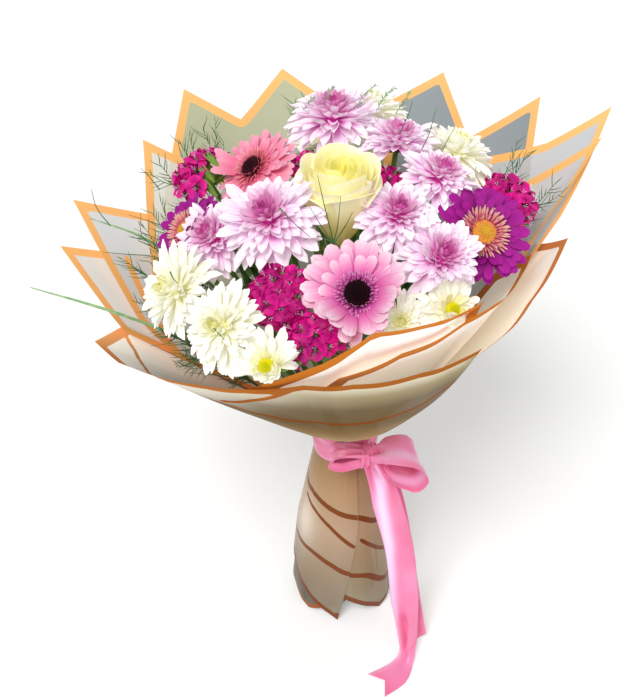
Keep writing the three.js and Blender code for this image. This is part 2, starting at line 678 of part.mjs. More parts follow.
function dianthusHead(flower) {
  const R = flower.radius;
  const random = randomStream(RANDOM_SEED + FLOWERS.indexOf(flower));
  const ball = new THREE.IcosahedronGeometry(R * 0.55, 0);
  const upright = new THREE.Vector3(0, 0, 1);
  ball.applyQuaternion(new THREE.Quaternion().setFromUnitVectors(FACET_NORMAL, upright));
  ball.rotateZ(2 * Math.PI * random());
  ball.scale(1, 1, 0.75);
  ball.deleteAttribute('normal');
  ball.deleteAttribute('uv');
  const merged = mergeVertices(ball, 1e-3);
  const position = merged.attributes.position;
  const core = [];
  for (let i = 0; i < position.count; i += 1) {
    core.push(new THREE.Vector3().fromBufferAttribute(position, i));
  }
  const facets = [];
  for (let i = 0; i < merged.index.count; i += 3) {
    facets.push([0, 1, 2].map((k) => merged.index.getX(i + k)));
  }
  const points = [...core];
  const faces = [];
  const placed = [solid(core, facets)];
  const pattern = floretFaces();
  const [size, lowest] = R > 24 ? [0.42, -0.5] : [0.44, -0.2];
  for (const facet of facets) {
    const root = facet.map((index) => core[index]);
    const sides = [1, 2].map((k) => root[k].clone().sub(root[0]));
    const outward = new THREE.Vector3().crossVectors(...sides).normalize();
    const spin = random() * 0.6;
    const floret = outward.z > lowest ? fittedFloret(flower, root, outward, R * size, placed, spin) : null;
    if (!floret) {
      faces.push(facet);
      continue;
    }
    const start = points.length - 3;
    points.push(...floret.slice(3));
    const place = (index) => (index < 3 ? facet[index] : start + index);
    faces.push(...pattern.map((face) => face.map(place)));
  }
  return meshGeometry(points, faces);
}

function fittedFloret(flower, root, outward, radius, placed, spin) {
  for (const size of FLORET_SIZES) {
    const points = floretPoints(root, outward, spin, radius * size, flower.radius * 0.34 * size);
    if (!staysClear(flower, points)) continue;
    const body = solid(points, [...floretFaces(), [0, 2, 1]]);
    if (placed.some((other) => other.intersect(body).volume() > CROSSING_VOLUME)) continue;
    placed.push(body);
    return points;
  }
  return null;
}

function budHead(flower) {
  const R = flower.radius;
  const profile = [[0, -R], [R * 0.5, -R], [R, -R * 0.2], [R * 0.8, R * 0.5], [R * 0.3, R * 0.9], [0, R * 0.9]];
  const lathe = new THREE.LatheGeometry(profile.map(([r, z]) => new THREE.Vector2(r, z)), 8);
  lathe.rotateX(Math.PI / 2);
  return geometryOf(solidOf(lathe));
}

const HEAD_MAKERS = {
  mum: mumHead,
  gerbera: gerberaHead,
  rose: roseHead,
  dianthus: dianthusHead,
  bud: budHead,
};
const EYE_SHARE = { mum: 0.16, gerbera: 0.24 };
const EYE_SEAT = { mum: MUM_TOP, gerbera: GERBERA_TOP };

const heads = new THREE.Group();
part.add(heads);
for (const flower of FLOWERS) {
  const group = new THREE.Group();
  group.applyMatrix4(flower.frame);
  heads.add(group);
  addMesh(flower.name, HEAD_MAKERS[flower.kind](flower), COLOURS[flower.colour], 0.6, group);
  if (!flower.eye) continue;
  const base = flower.radius * EYE_SEAT[flower.kind] + SEAT_GAP;
  const eye = eyeBody(flower.radius * EYE_SHARE[flower.kind], base);
  addMesh(`${flower.name}_eye`, geometryOf(eye), COLOURS[flower.eye], 0.8, group);
}

// The stems: each runs from its head through the tie in a spiral and fans out to a flat cut end
const STEM_TURN_AT_TIE = 40;
const STEM_TURN_AT_FOOT = 105;
const HEAD_APPROACH = 26;

function stemSolids(flower) {
  const depth = flower.radius * CORE_DEPTH[flower.kind] + SEAT_GAP;
  const top = flower.centre.clone().addScaledVector(flower.normal, -depth);
  const approach = top.clone().addScaledVector(flower.normal, -HEAD_APPROACH);
  const spread = Math.min(flower.lean / 30, 1);
  const tieRadius = STEM_RING_RADIUS * Math.sqrt(spread);
  const tie = ringPoint(tieRadius, flower.around + STEM_TURN_AT_TIE, TIE_HEIGHT);
  const foot = ringPoint(10 + 25 * spread, flower.around + STEM_TURN_AT_FOOT, 0);
  const upright = new THREE.Vector3(0, 0, 1);
  const calyx = Math.min(flower.radius * 0.16, 6);
  return [tubeSolid([
    { centre: foot, normal: upright, radius: STEM_RADIUS },
    { centre: tie, normal: approach.clone().sub(foot), radius: STEM_RADIUS },
    { centre: approach, normal: flower.normal, radius: STEM_RADIUS * 0.9 },
    { centre: top, normal: flower.normal, radius: calyx },
  ], 3)];
}

// A thin strip through stations: each has a centre, a side and a face direction, a half width and a dip
function stripSolid(stations, thickness) {
  const points = [];
  for (const station of stations) {
    for (const layer of [0, 1]) {
      for (const hand of [-1, 0, 1]) {
        points.push(station.centre.clone()
          .addScaledVector(station.side, hand * station.half)
          .addScaledVector(station.face, layer * thickness - (hand === 0 ? station.dip ?? 0 : 0))
          .addScaledVector(station.along ?? station.face, hand === 0 ? station.notch ?? 0 : 0));
      }
    }
  }
  const at = (station, layer, hand) => station * 6 + layer * 3 + hand;
  const faces = [];
  const quad = (a, b, c, d) => faces.push([a, b, c], [a, c, d]);
  for (let i = 0; i + 1 < stations.length; i += 1) {
    for (const k of [0, 1]) {
      quad(at(i, 1, k), at(i, 1, k + 1), at(i + 1, 1, k + 1), at(i + 1, 1, k));
      faces.push([at(i, 0, k), at(i + 1, 0, k + 1), at(i, 0, k + 1)]);
      faces.push([at(i, 0, k), at(i + 1, 0, k), at(i + 1, 0, k + 1)]);
    }
    quad(at(i, 0, 0), at(i, 1, 0), at(i + 1, 1, 0), at(i + 1, 0, 0));
    quad(at(i, 1, 2), at(i, 0, 2), at(i + 1, 0, 2), at(i + 1, 1, 2));
  }
  const end = stations.length - 1;
  for (const k of [0, 1]) {
    quad(at(0, 0, k), at(0, 0, k + 1), at(0, 1, k + 1), at(0, 1, k));
    quad(at(end, 1, k), at(end, 1, k + 1), at(end, 0, k + 1), at(end, 0, k));
  }
  return rightSideOut(points, faces);
}

function rightSideOut(points, faces) {
  let volume = 0;
  for (const [a, b, c] of faces) {
    volume += points[a].dot(new THREE.Vector3().crossVectors(points[b], points[c]));
  }
  return solid(points, volume > 0 ? faces : faces.map(([a, b, c]) => [a, c, b]));
}

// Lobed leaves on the stems, in the gaps under the heads
const LEAVES = [
  { around: -95, lean: 27, reach: 222 },
  { around: -45, lean: 25, reach: 222 },
  { around: -4, lean: 23, reach: 222 },
  { around: 50, lean: 20, reach: 226 },
  { around: 108, lean: 22, reach: 222 },
  { around: 165, lean: 21, reach: 220 },
];
const LEAF_LENGTH = 64;
const LEAF_WIDTH = 40;
const LEAF_THICKNESS = 1.2;
const LEAF_BEND = 8;
const LEAF_LOBES = [
  [0, 0.05], [0.18, 0.2], [0.3, 0.48], [0.44, 0.24], [0.56, 0.5], [0.72, 0.24], [0.8, 0.34], [1, 0.03],
];

function leafSolids(leaf) {
  const axis = direction(leaf.lean + 5, leaf.around);
  const side = new THREE.Vector3(0, 0, 1).cross(axis).normalize();
  const face = new THREE.Vector3().crossVectors(axis, side);
  const root = TIE.clone().addScaledVector(direction(leaf.lean, leaf.around), leaf.reach - LEAF_LENGTH);
  const stations = LEAF_LOBES.map(([along, across]) => ({
    centre: root.clone()
      .addScaledVector(axis, along * LEAF_LENGTH)
      .addScaledVector(face, LEAF_BEND * along * along),
    side, face, half: across * LEAF_WIDTH, dip: 5 * across,
  }));
  const stalk = tubeSolid([
    { centre: ringPoint(8, leaf.around, TIE_HEIGHT + 6), normal: axis, radius: 1.6 },
    { centre: root.clone().addScaledVector(axis, -18), normal: axis, radius: 1.6 },
    { centre: root.clone().addScaledVector(axis, 8), normal: axis, radius: 1.3 },
  ], 3);
  return [stripSolid(stations, LEAF_THICKNESS), stalk];
}

function stemBundle() {
  const core = new THREE.CylinderGeometry(BUNDLE_RADIUS, BUNDLE_RADIUS, BUNDLE_HEIGHT, 10);
  core.rotateX(Math.PI / 2);
  core.translate(0, 0, TIE_HEIGHT);
  const solids = [solidOf(core), centreStem()];
  for (const flower of FLOWERS) solids.push(...stemSolids(flower));
  for (const leaf of LEAVES) solids.push(...leafSolids(leaf));
  return fuse(solids);
}

// A stem end in the very middle of the foot, whose flat cut end carries the origin
const CENTRE_STEM_RADIUS = 3.2;

function centreStem() {
  const upright = new THREE.Vector3(0, 0, 1);
  return tubeSolid([
    { centre: new THREE.Vector3(0, 0, 0), normal: upright, radius: CENTRE_STEM_RADIUS },
    { centre: new THREE.Vector3(0, 0, TIE_HEIGHT), normal: upright, radius: CENTRE_STEM_RADIUS },
  ], 8);
}

const stems = stemBundle();
addMesh('stems_and_leaves', geometryOf(stems), COLOURS.stem, 0.6);

// Binding twine round the stems under the ribbon
const twineProfile = [
  [TWINE_INNER_RADIUS, -0.5], [TWINE_OUTER_RADIUS - 0.5, -0.5], [TWINE_OUTER_RADIUS, 0],
  [TWINE_OUTER_RADIUS - 0.5, 0.5], [TWINE_INNER_RADIUS, 0.5], [TWINE_INNER_RADIUS, -0.5],
].map(([r, z]) => new THREE.Vector2(r, z * TWINE_HEIGHT));
const twine = new THREE.LatheGeometry(twineProfile, 14);
twine.rotateX(Math.PI / 2);
twine.translate(0, 0, TIE_HEIGHT);
addMesh('binding_twine', geometryOf(solidOf(twine)), COLOURS.twine, 0.9);

// Greenery at the rim: fine fern sprays and long grass blades, each on its own stem outside the flowers
const SPRAYS = [
  { name: 'fern_left_low', around: -64, lean: 42, reach: 238, tips: 3, spread: 9 },
  { name: 'fern_left', around: -93, lean: 38, reach: 268, tips: 3, spread: 8 },
  { name: 'fern_left_rear', around: -122, lean: 33, reach: 300, tips: 3, spread: 7 },
  { name: 'fern_rear', around: -174, lean: 36, reach: 300, tips: 2, spread: 6 },
  { name: 'fern_right', around: 108, lean: 33, reach: 300, tips: 2, spread: 5 },
];
const SPRAY_STEM_RADIUS = 1.4;
const RACHIS_RADIUS = 0.9;
const NEEDLE_LENGTH = 21;
const NEEDLE_ROOT = 1.8;
const WHORLS = 6;
const RACHIS_SIDES = 3;

// A sprig: a three-sided rachis whose needles grow from its facets in whorls
function sprigSolid(from, to) {
  const axis = to.clone().sub(from).normalize();
  const length = from.distanceTo(to);
  const side = new THREE.Vector3(0, 0, 1).cross(axis).normalize();
  const other = new THREE.Vector3().crossVectors(axis, side);
  const spoke = (turn) => side.clone().multiplyScalar(Math.cos(turn)).addScaledVector(other, Math.sin(turn));
  const points = [];
  const rings = [0];
  for (let i = 0; i < WHORLS; i += 1) {
    const at = length * (0.22 + (0.74 * i) / (WHORLS - 1)) - NEEDLE_ROOT;
    rings.push(at, at + NEEDLE_ROOT);
  }
  for (const along of rings) {
    const radius = RACHIS_RADIUS * (1 - (0.4 * along) / length);
    for (let k = 0; k < RACHIS_SIDES; k += 1) {
      const outward = spoke((k * 2 * Math.PI) / RACHIS_SIDES);
      points.push(from.clone().addScaledVector(axis, along).addScaledVector(outward, radius));
    }
  }
  const faces = [[0, 2, 1]];
  for (let ring = 0; ring + 1 < rings.length; ring += 1) {
    for (let k = 0; k < RACHIS_SIDES; k += 1) {
      const a = ring * RACHIS_SIDES + k;
      const b = ring * RACHIS_SIDES + ((k + 1) % RACHIS_SIDES);
      const [c, d] = [b + RACHIS_SIDES, a + RACHIS_SIDES];
      faces.push([a, c, d]);
      const reach = NEEDLE_LENGTH * (1 - (0.55 * rings[ring]) / length);
      const turn = ((k + 0.5) * 2 * Math.PI) / RACHIS_SIDES + ring;
      const gapMiddle = spoke(((k + 0.5) * 2 * Math.PI) / RACHIS_SIDES);
      const out = axis.clone().multiplyScalar(0.8).addScaledVector(gapMiddle, 0.6);
      out.addScaledVector(spoke(turn), 0.25).normalize();
      const tip = points[b].clone().addScaledVector(out, reach);
      if (ring % 2 === 0 || !insideWrap(tip, 3) || !clearOfHeads(tip, 3)) {
        faces.push([a, b, c]);
        continue;
      }
      const apex = points.push(tip) - 1;
      faces.push([a, b, apex], [b, c, apex], [c, a, apex]);
    }
  }
  const last = (rings.length - 1) * RACHIS_SIDES;
  faces.push([last, last + 1, last + 2]);
  return solid(points, faces);
}

function sprayBody(spray, index) {
  const random = randomStream(RANDOM_SEED * 3 + index);
  const upright = new THREE.Vector3(0, 0, 1);
  const toward = direction(spray.lean, spray.around);
  const neck = ringPoint(GREENERY_RING_RADIUS, spray.around, TIE_HEIGHT);
  const bend = ringPoint(GREENERY_BEND_RADIUS, spray.around, NECK_HIGH);
  const foot = ringPoint(GREENERY_FOOT_RADIUS, spray.around, 0);
  const fork = bend.clone().addScaledVector(toward, spray.reach * 0.42);
  const solids = [tubeSolid([
    { centre: foot, normal: upright, radius: SPRAY_STEM_RADIUS },
    { centre: neck.clone().setZ(NECK_LOW), normal: upright, radius: SPRAY_STEM_RADIUS },
    { centre: neck.clone().setZ(TIE_HEIGHT + TWINE_HEIGHT / 2), normal: upright, radius: SPRAY_STEM_RADIUS },
    { centre: bend, normal: upright.clone().add(toward), radius: SPRAY_STEM_RADIUS },
    { centre: fork.clone().addScaledVector(toward, 6), normal: toward, radius: SPRAY_STEM_RADIUS },
  ], 3)];
  for (let i = 0; i < spray.tips; i += 1) {
    const offset = i / Math.max(spray.tips - 1, 1) - 0.5;
    const turn = spray.around + (offset * 2 * spray.spread) / Math.sin(spray.lean * DEG);
    const way = direction(spray.lean + 4 * (random() - 0.5), turn);
    const tip = neck.clone().addScaledVector(way, spray.reach * (0.9 + 0.1 * random()));
    solids.push(sprigSolid(fork, tip));
  }
  return fuse(solids);
}

// A point is clear of the heads when it lies outside every head's ball of petals
function clearOfHeads(point, margin) {
  return FLOWERS.every((flower) => {
    const local = point.clone().sub(flower.centre);
    const height = local.dot(flower.normal);
    const across = Math.sqrt(Math.max(local.lengthSq() - height * height, 0));
    const far = flower.radius + margin;
    const above = height > flower.radius * 0.95 + margin;
    const below = height < -flower.radius * 0.5 - margin;
    return across > far || above || below;
  });
}

// A spray is turned a little until its stem misses the flower stems
const STEM_TURNS = [0, 4, -4, 8, -8, 12, -12];

SPRAYS.forEach((spray, index) => {
  const tries = STEM_TURNS.map((turn) => sprayBody({ ...spray, around: spray.around + turn }, index));
  const body = tries.find((one) => one.intersect(stems).volume() < CROSSING_VOLUME);
  addMesh(spray.name, geometryOf(body), COLOURS.fern, 0.7);
});

// Long grass blades: hand-chosen points from the foot to the tip
const GRASS = [
  { name: 'grass_blade_left', around: -80,
    points: [[-68, -12, 307], [-130, -25, 369], [-200, -34, 416], [-272, -24, 436]] },
  { name: 'grass_blade_upper_left', around: -104,
    points: [[-70, 12, 330], [-120, 20, 400], [-176, 22, 452], [-222, 18, 478]] },
];
const BLADE_HALF_WIDTH = 1.6;
const BLADE_THICKNESS = 1;
const GRASS_RING_RADIUS = 19.9;

function grassBody(blade) {
  const toward = direction(52, blade.around);
  const side = new THREE.Vector3(0, 0, 1).cross(toward).normalize();
  const route = [
    ringPoint(GREENERY_FOOT_RADIUS, blade.around, 0),
    ringPoint(GRASS_RING_RADIUS, blade.around, NECK_LOW),
    ringPoint(GRASS_RING_RADIUS, blade.around, NECK_HIGH - 4),
    ...blade.points.map(([x, y, z]) => new THREE.Vector3(x, y, z)),
  ];
  const stations = route.map((centre, i) => {
    const next = route[Math.min(i + 1, route.length - 1)];
    const along = next.clone().sub(route[Math.max(i - 1, 0)]).normalize();
    const face = new THREE.Vector3().crossVectors(along, side).normalize();
    const half = i === route.length - 1 ? 0.5 : BLADE_HALF_WIDTH;
    return { centre, side, face: i === 0 ? ringPoint(1, blade.around, 0) : face, half, dip: 0.3 };
  });
  return stripSolid(stations, BLADE_THICKNESS);
}

for (const blade of GRASS) addMesh(blade.name, geometryOf(grassBody(blade)), COLOURS.fern, 0.6);

// The film wrap
for (const sheet of SHEETS) addMesh(sheet.name, sheetGeometry(sheet), COLOURS.film, 0.35);

// The satin ribbon: one length, with a band round the neck, a knot, two loops and two tails
const KNOT = new THREE.Vector3(19.6, -36.8, 241);
const KNOT_SIZE = [11, 10.2, 12];

function bandSolid() {
  const half = (NECK_HIGH - NECK_LOW) / 2 - 1.5;
  const profile = [
    [BAND_INNER_RADIUS, -half], [BAND_OUTER_RADIUS + 0.6, -half], [BAND_OUTER_RADIUS, 0],
    [BAND_OUTER_RADIUS + 0.9, half], [BAND_INNER_RADIUS, half], [BAND_INNER_RADIUS, -half],
  ].map(([r, z]) => new THREE.Vector2(r, z));
  const band = new THREE.LatheGeometry(profile, 18);
  band.rotateX(Math.PI / 2);
  band.translate(0, 0, TIE_HEIGHT);
  return solidOf(band);
}

function knotSolid() {
  const ball = new THREE.SphereGeometry(1, 7, 5);
  ball.scale(...KNOT_SIZE);
  ball.rotateZ(28 * DEG);
  ball.translate(KNOT.x, KNOT.y, KNOT.z);
  return solidOf(ball);
}

// A ribbon run is a list of stations chosen by hand: place, half width and the way its width lies
function ribbonRun(run) {
  const places = run.map(([place]) => new THREE.Vector3(...place));
  const stations = run.map(([, half, width, notch], i) => {
    const next = places[Math.min(i + 1, places.length - 1)];
    const along = next.clone().sub(places[Math.max(i - 1, 0)]).normalize();
    const side = new THREE.Vector3(...width);
    side.addScaledVector(along, -side.dot(along)).normalize();
    const face = new THREE.Vector3().crossVectors(along, side).normalize();
    return { centre: places[i], side, face, half, dip: Math.min(half, places[i].z) * 0.08, along, notch };
  });
  return stripSolid(stations, RIBBON_THICKNESS);
}

const LOOP_RIGHT = [
  [[22, -40, 244], 6, [0.1, -1, 0.3]],
  [[36, -42, 254], 12, [0.15, -1, 0.2]],
  [[56, -44, 256], 16, [0.25, -1, 0.1]],
  [[70, -46, 247], 17, [0.3, -1, 0]],
  [[75, -46, 229], 17, [0.3, -1, 0]],
  [[68, -45, 213], 16, [0.25, -1, 0.1]],
  [[48, -43, 216], 12, [0.2, -1, 0.1]],
  [[30, -41, 229], 7, [0.1, -1, 0.2]],
  [[22, -40, 238], 5, [0.1, -1, 0.3]],
];
const LOOP_LEFT = [
  [[18, -41, 246], 4, [0, -1, 0.4]],
  [[4, -44, 253], 7, [0, -1, 0.4]],
  [[-10, -44, 251], 8, [-0.1, -1, 0.3]],
  [[-13, -43.5, 243], 8, [-0.1, -1, 0.3]],
  [[-4, -44, 238], 7, [0, -1, 0.3]],
  [[16, -42, 239], 4, [0, -1, 0.3]],
];
const TAIL_FRONT = [
  [[24, -43, 238], 8, [1, 0.1, 0.2]],
  [[33, -50, 217], 12, [1, 0.25, 0.2]],
  [[40, -57, 194], 14.5, [1, 0.3, 0.15]],
  [[54, -68, 138], 14.5, [1, 0.25, 0.15]],
  [[62, -80, 72], 14.5, [1, 0.1, 0.15]],
  [[66, -90, 34], 10, [1, -0.3, 0.1]],
  [[67, -98, 12], 7, [0.9, -0.6, 0.1]],
  [[64, -109, 1.6], 9, [0.8, -0.7, 0]],
  [[53, -125, 0.5], 14, [0.55, -0.8, 0]],
  [[33, -138, 0.5], 15.5, [0.1, -1, 0], -10],
];
const TAIL_BACK = [
  [[28, -41, 234], 7, [1, 0.5, 0]],
  [[44, -43, 200], 12, [1, 0.5, 0]],
  [[54, -48, 160], 12, [1, 0.5, 0]],
  [[62, -58, 110], 12, [1, 0.4, 0]],
  [[68, -70, 60], 12, [1, 0.4, 0]],
  [[74, -85, 10], 13, [1, 0.3, 0], 8],
];

const ribbonRuns = [LOOP_RIGHT, LOOP_LEFT, TAIL_FRONT, TAIL_BACK].map(ribbonRun);
const ribbon = fuse([bandSolid(), knotSolid(), ...ribbonRuns]);
addMesh('satin_ribbon', geometryOf(ribbon), COLOURS.ribbon, 0.3);

export default part;
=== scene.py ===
"""Mixed flower bouquet: the looks of every bloom, sprig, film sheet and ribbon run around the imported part.

Tables and sizes are in millimetres and degrees, and become metres where a mesh is made.
Angles round the axis count from the front (-Y) towards the viewer's right (+X), as in the part.
"""

import math

import bpy
import numpy as np
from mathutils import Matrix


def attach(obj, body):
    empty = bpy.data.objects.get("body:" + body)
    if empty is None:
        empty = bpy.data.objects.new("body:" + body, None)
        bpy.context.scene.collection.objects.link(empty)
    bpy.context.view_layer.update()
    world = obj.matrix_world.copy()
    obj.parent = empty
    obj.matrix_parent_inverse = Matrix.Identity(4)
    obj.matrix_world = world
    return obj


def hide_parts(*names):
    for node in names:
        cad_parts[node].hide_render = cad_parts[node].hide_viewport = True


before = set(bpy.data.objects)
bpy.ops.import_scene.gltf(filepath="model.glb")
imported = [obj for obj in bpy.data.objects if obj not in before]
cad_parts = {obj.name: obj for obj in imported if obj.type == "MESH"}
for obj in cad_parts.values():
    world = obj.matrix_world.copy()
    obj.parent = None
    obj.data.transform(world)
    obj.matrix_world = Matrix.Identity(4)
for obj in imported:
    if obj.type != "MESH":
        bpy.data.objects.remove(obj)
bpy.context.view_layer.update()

MM = 0.001
SEED = 20
UP = np.array([0.0, 0.0, 1.0])

# A distance in mm that stands for far away
FAR = 99.0

# Driving dimensions, the same as the part's
TIE = np.array([0.0, 0.0, 240.0])
NECK_LOW = 222.0
NECK_HIGH = 258.0
FILM_NECK_RADIUS = 22.15
FILM_LAYER_STEP = 1.25
FILM_THICKNESS = 0.65
HIDDEN_FILM_END = 218.0
SLEEVE_PROFILE = ([0.0, 115.0, 222.0], [28.0, 18.0, 0.0])
STEM_RADIUS = 2.3
STEM_RING_RADIUS = 9.8
GREENERY_RING_RADIUS = 18.8
GREENERY_BEND_RADIUS = 21.4
GREENERY_FOOT_RADIUS = 42.0
RIBBON_WIDTH = 38.0

# Blooms: name (colour, kind, place), around, lean, reach, radius, lean and own turn of the face
FLOWERS = [
    ("lilac_mum_top", -168, 12.5, 314, 40, 4),
    ("lilac_mum_left", -45, 17, 308, 40, 26),
    ("lilac_mum_left_low", -66, 24, 291, 34, 40),
    ("lilac_mum_upper_right", 137, 11, 304, 33, 10),
    ("lilac_mum_right", 84, 13.5, 304, 32, 18),
    ("lilac_mum_centre", 32, 12.5, 299, 33, 18),
    ("lilac_mum_low_right", 38, 21.5, 294, 34, 32),
    ("lilac_mum_rear", -142, 27, 274, 31, 38),
    ("white_mum_top", 170, 19, 312, 32, 18),
    ("white_mum_upper_right", 120, 20.5, 300, 34, 22),
    ("white_mum_left", -56, 33.5, 298, 35, 50),
    ("white_mum_left_front", -36, 34, 298, 33, 48),
    ("white_mum_front", -21, 37, 292, 30, 46),
    ("white_mum_right_front", 33, 29, 279, 30, 42),
    ("white_mum_low_centre", 15, 28.4, 280, 25, 42),
    ("white_mum_rear", -170, 30, 274, 30, 42),
    ("pink_gerbera", 1, 25, 301, 41, 42),
    ("salmon_gerbera", -100, 15.5, 301, 37, 38, -62),
    ("magenta_gerbera_right", 66, 23, 292, 39, 38, 14),
    ("magenta_gerbera_left", -80, 28, 288, 33, 46, -62),
    ("cream_rose", -14, 7.5, 298, 33, 2),
    ("carmine_dianthus_left", -103, 24.5, 301, 31, 30),
    ("carmine_dianthus_centre", -26, 26, 287, 28, 34),
    ("carmine_dianthus_front", -11, 32, 281, 28, 42),
    ("carmine_dianthus_right", 98, 28, 290, 28, 34),
    ("carmine_dianthus_mid_left", -118, 7, 290, 20, 9),
    ("carmine_dianthus_mid_right", 95, 6, 284, 20, 8),
    ("carmine_dianthus_rear", 143, 29, 276, 27, 38),
    ("mum_bud", -64, 29, 292, 8, 34),
]
# Chrysanthemums that have opened flat and show an eye
OPEN_MUMS = ("white_mum_front", "white_mum_right_front")
# How far the core reaches under the middle of a head, as a share of its radius
CORE_DEPTH = {"mum": 0.24, "open_mum": 0.24, "gerbera": 0.2, "rose": 1.4, "dianthus": 0.328, "bud": 1.0}
# Turn between neighbouring florets of a spiral, and the range of random phases, in radians
GOLDEN_TURN = math.radians(137.508)
PHASES = 6.28

# name, layer, rim corners (around, slant length, flare), foot corners (around, height)
SHEETS = [
    ("film_front_inner", 1,
     [(-42, 190, 42), (-24, 236, 39), (-8, 262, 34.8), (4, 310, 31.4), (22, 292, 30.6), (42, 268, 30),
      (54, 215, 29.2)], None),
    ("film_left_inner", 2, [(-150, 215, 41), (-126, 308, 43.4), (-98, 205, 47.6), (-78, 155, 47.4)], None),
    ("film_front_right", 2,
     [(-12, 205, 37.4), (-4, 236, 36), (14, 246, 33), (38, 254, 31.6), (78, 254, 31), (92, 205, 31.6)], None),
    ("film_rear", 3,
     [(-195, 250, 39), (-165, 326, 40.8), (-152, 286, 41.8), (-142, 330, 42.8), (-118, 238, 46.8)],
     [(-195, 26), (-160, 4), (-118, 18)]),
    ("film_right_inner", 3,
     [(84, 215, 32.4), (94, 250, 33.2), (107, 335, 36.2), (119, 262, 37), (130, 228, 37.4)], None),
    ("film_left", 4,
     [(-122, 235, 47.6), (-107, 306, 49.4), (-88, 205, 51), (-78, 165, 50.6), (-74, 8, 50), (0, 8, 35)],
     [(-122, 26), (-42, 1.5), (0, 26)]),
    ("film_right", 4,
     [(90, 225, 34.6), (98, 268, 36), (113, 357, 37.8), (122, 300, 38.3), (140, 255, 38.8)], None),
    ("film_left_low", 5, [(-114, 210, 50.6), (-98, 290, 52.4), (-82, 212, 52.4)], None),
    ("film_rear_right", 5,
     [(118, 245, 39.6), (132, 333, 39.8), (145, 272, 40.2), (157, 326, 40.8), (192, 250, 41.8)],
     [(118, 20), (150, 4), (192, 22)]),
    ("film_right_outer", 5,
     [(-12, 8, 37), (34, 8, 34.4), (38, 212, 34.4), (50, 225, 34), (66, 240, 33.8), (86, 270, 34.8),
      (102, 228, 38)], [(-12, 44), (45, 1.5), (102, 26)]),
    ("film_front_outer", 6,
     [(-96, 8, 54), (-88, 208, 54.4), (-76, 242, 54.4), (-66, 234, 52), (-58, 228, 48.6), (-42, 222, 43.4),
      (-31, 222, 40.6), (-14, 228, 37.6), (0, 230, 36.6), (20, 230, 36), (42, 226, 36)],
     [(-96, 62), (-6, 1.5), (18, 135), (21, 212), (42, 214)]),
]


# Small maths
def direction(lean, around):
    lean, around = math.radians(lean), math.radians(around)
    return np.array([math.sin(lean) * math.sin(around), -math.sin(lean) * math.cos(around), math.cos(lean)])


def ring_point(radius, around, height):
    around = np.radians(around)
    return np.stack(np.broadcast_arrays(radius * np.sin(around), -radius * np.cos(around), height), -1)


def unit(vectors):
    return vectors / np.maximum(np.linalg.norm(vectors, axis=-1, keepdims=True), 1e-9)


def smooth_path(points, count):
    """A smooth curve through the points, with count samples."""
    points = np.asarray(points, float)
    padded = np.vstack([2 * points[0] - points[1], points, 2 * points[-1] - points[-2]])
    at = np.linspace(0, len(points) - 1, count)
    index = np.minimum(at.astype(int), len(points) - 2)
    t = (at - index)[:, None]
    a, b, c, d = (padded[index + k] for k in range(4))
    return 0.5 * (2 * b + (c - a) * t + (2 * a - 5 * b + 4 * c - d) * t**2 + (3 * b - a - 3 * c + d) * t**3)


def rounded_path(points, rounds=3):
    """The same route with its corners cut, which never swings outside it."""
    points = np.asarray(points, float)
    for _ in range(rounds):
        cut = np.empty((2 * len(points) - 2, 3))
        cut[0::2] = 0.75 * points[:-1] + 0.25 * points[1:]
        cut[1::2] = 0.25 * points[:-1] + 0.75 * points[1:]
        points = np.vstack([points[:1], cut, points[-1:]])
    return points


# Meshes
def grid_faces(rows, columns, patches=1, closed=False):
    """Quads of grids of points, stored one grid after another."""
    index = np.arange(rows * columns).reshape(rows, columns)
    left, right = (index, np.roll(index, -1, axis=1)) if closed else (index[:, :-1], index[:, 1:])
    quads = np.stack([left[:-1], right[:-1], right[1:], left[1:]], -1).reshape(-1, 4)
    return (quads[None] + np.arange(patches)[:, None, None] * rows * columns).reshape(-1, 4)


class Shape:
    """Points and faces gathered for one piece, with named values at every point."""

    def __init__(self):
        self.points, self.faces, self.values, self.count = [], {3: [], 4: []}, [], 0

    def add(self, points, faces, **values):
        """Adds points (..., 3) and their faces; a value may be a number or spread over the same axes."""
        points, faces = np.asarray(points, float), np.asarray(faces)
        spread = {name: np.broadcast_to(value, points.shape[:-1]).ravel() for name, value in values.items()}
        points = points.reshape(-1, 3)
        self.points.append(points)
        self.faces[faces.shape[1]].append(faces + self.count)
        self.values.append((len(points), spread))
        self.count += len(points)
        return self

    def value(self, name):
        return np.concatenate([spread.get(name, np.zeros(count)) for count, spread in self.values])


def grid_values(steps):
    """Shares of the way along a patch of points, and across it from side to side."""
    return {"along": np.linspace(0, 1, steps[0])[:, None], "across": np.linspace(-1, 1, steps[1])}


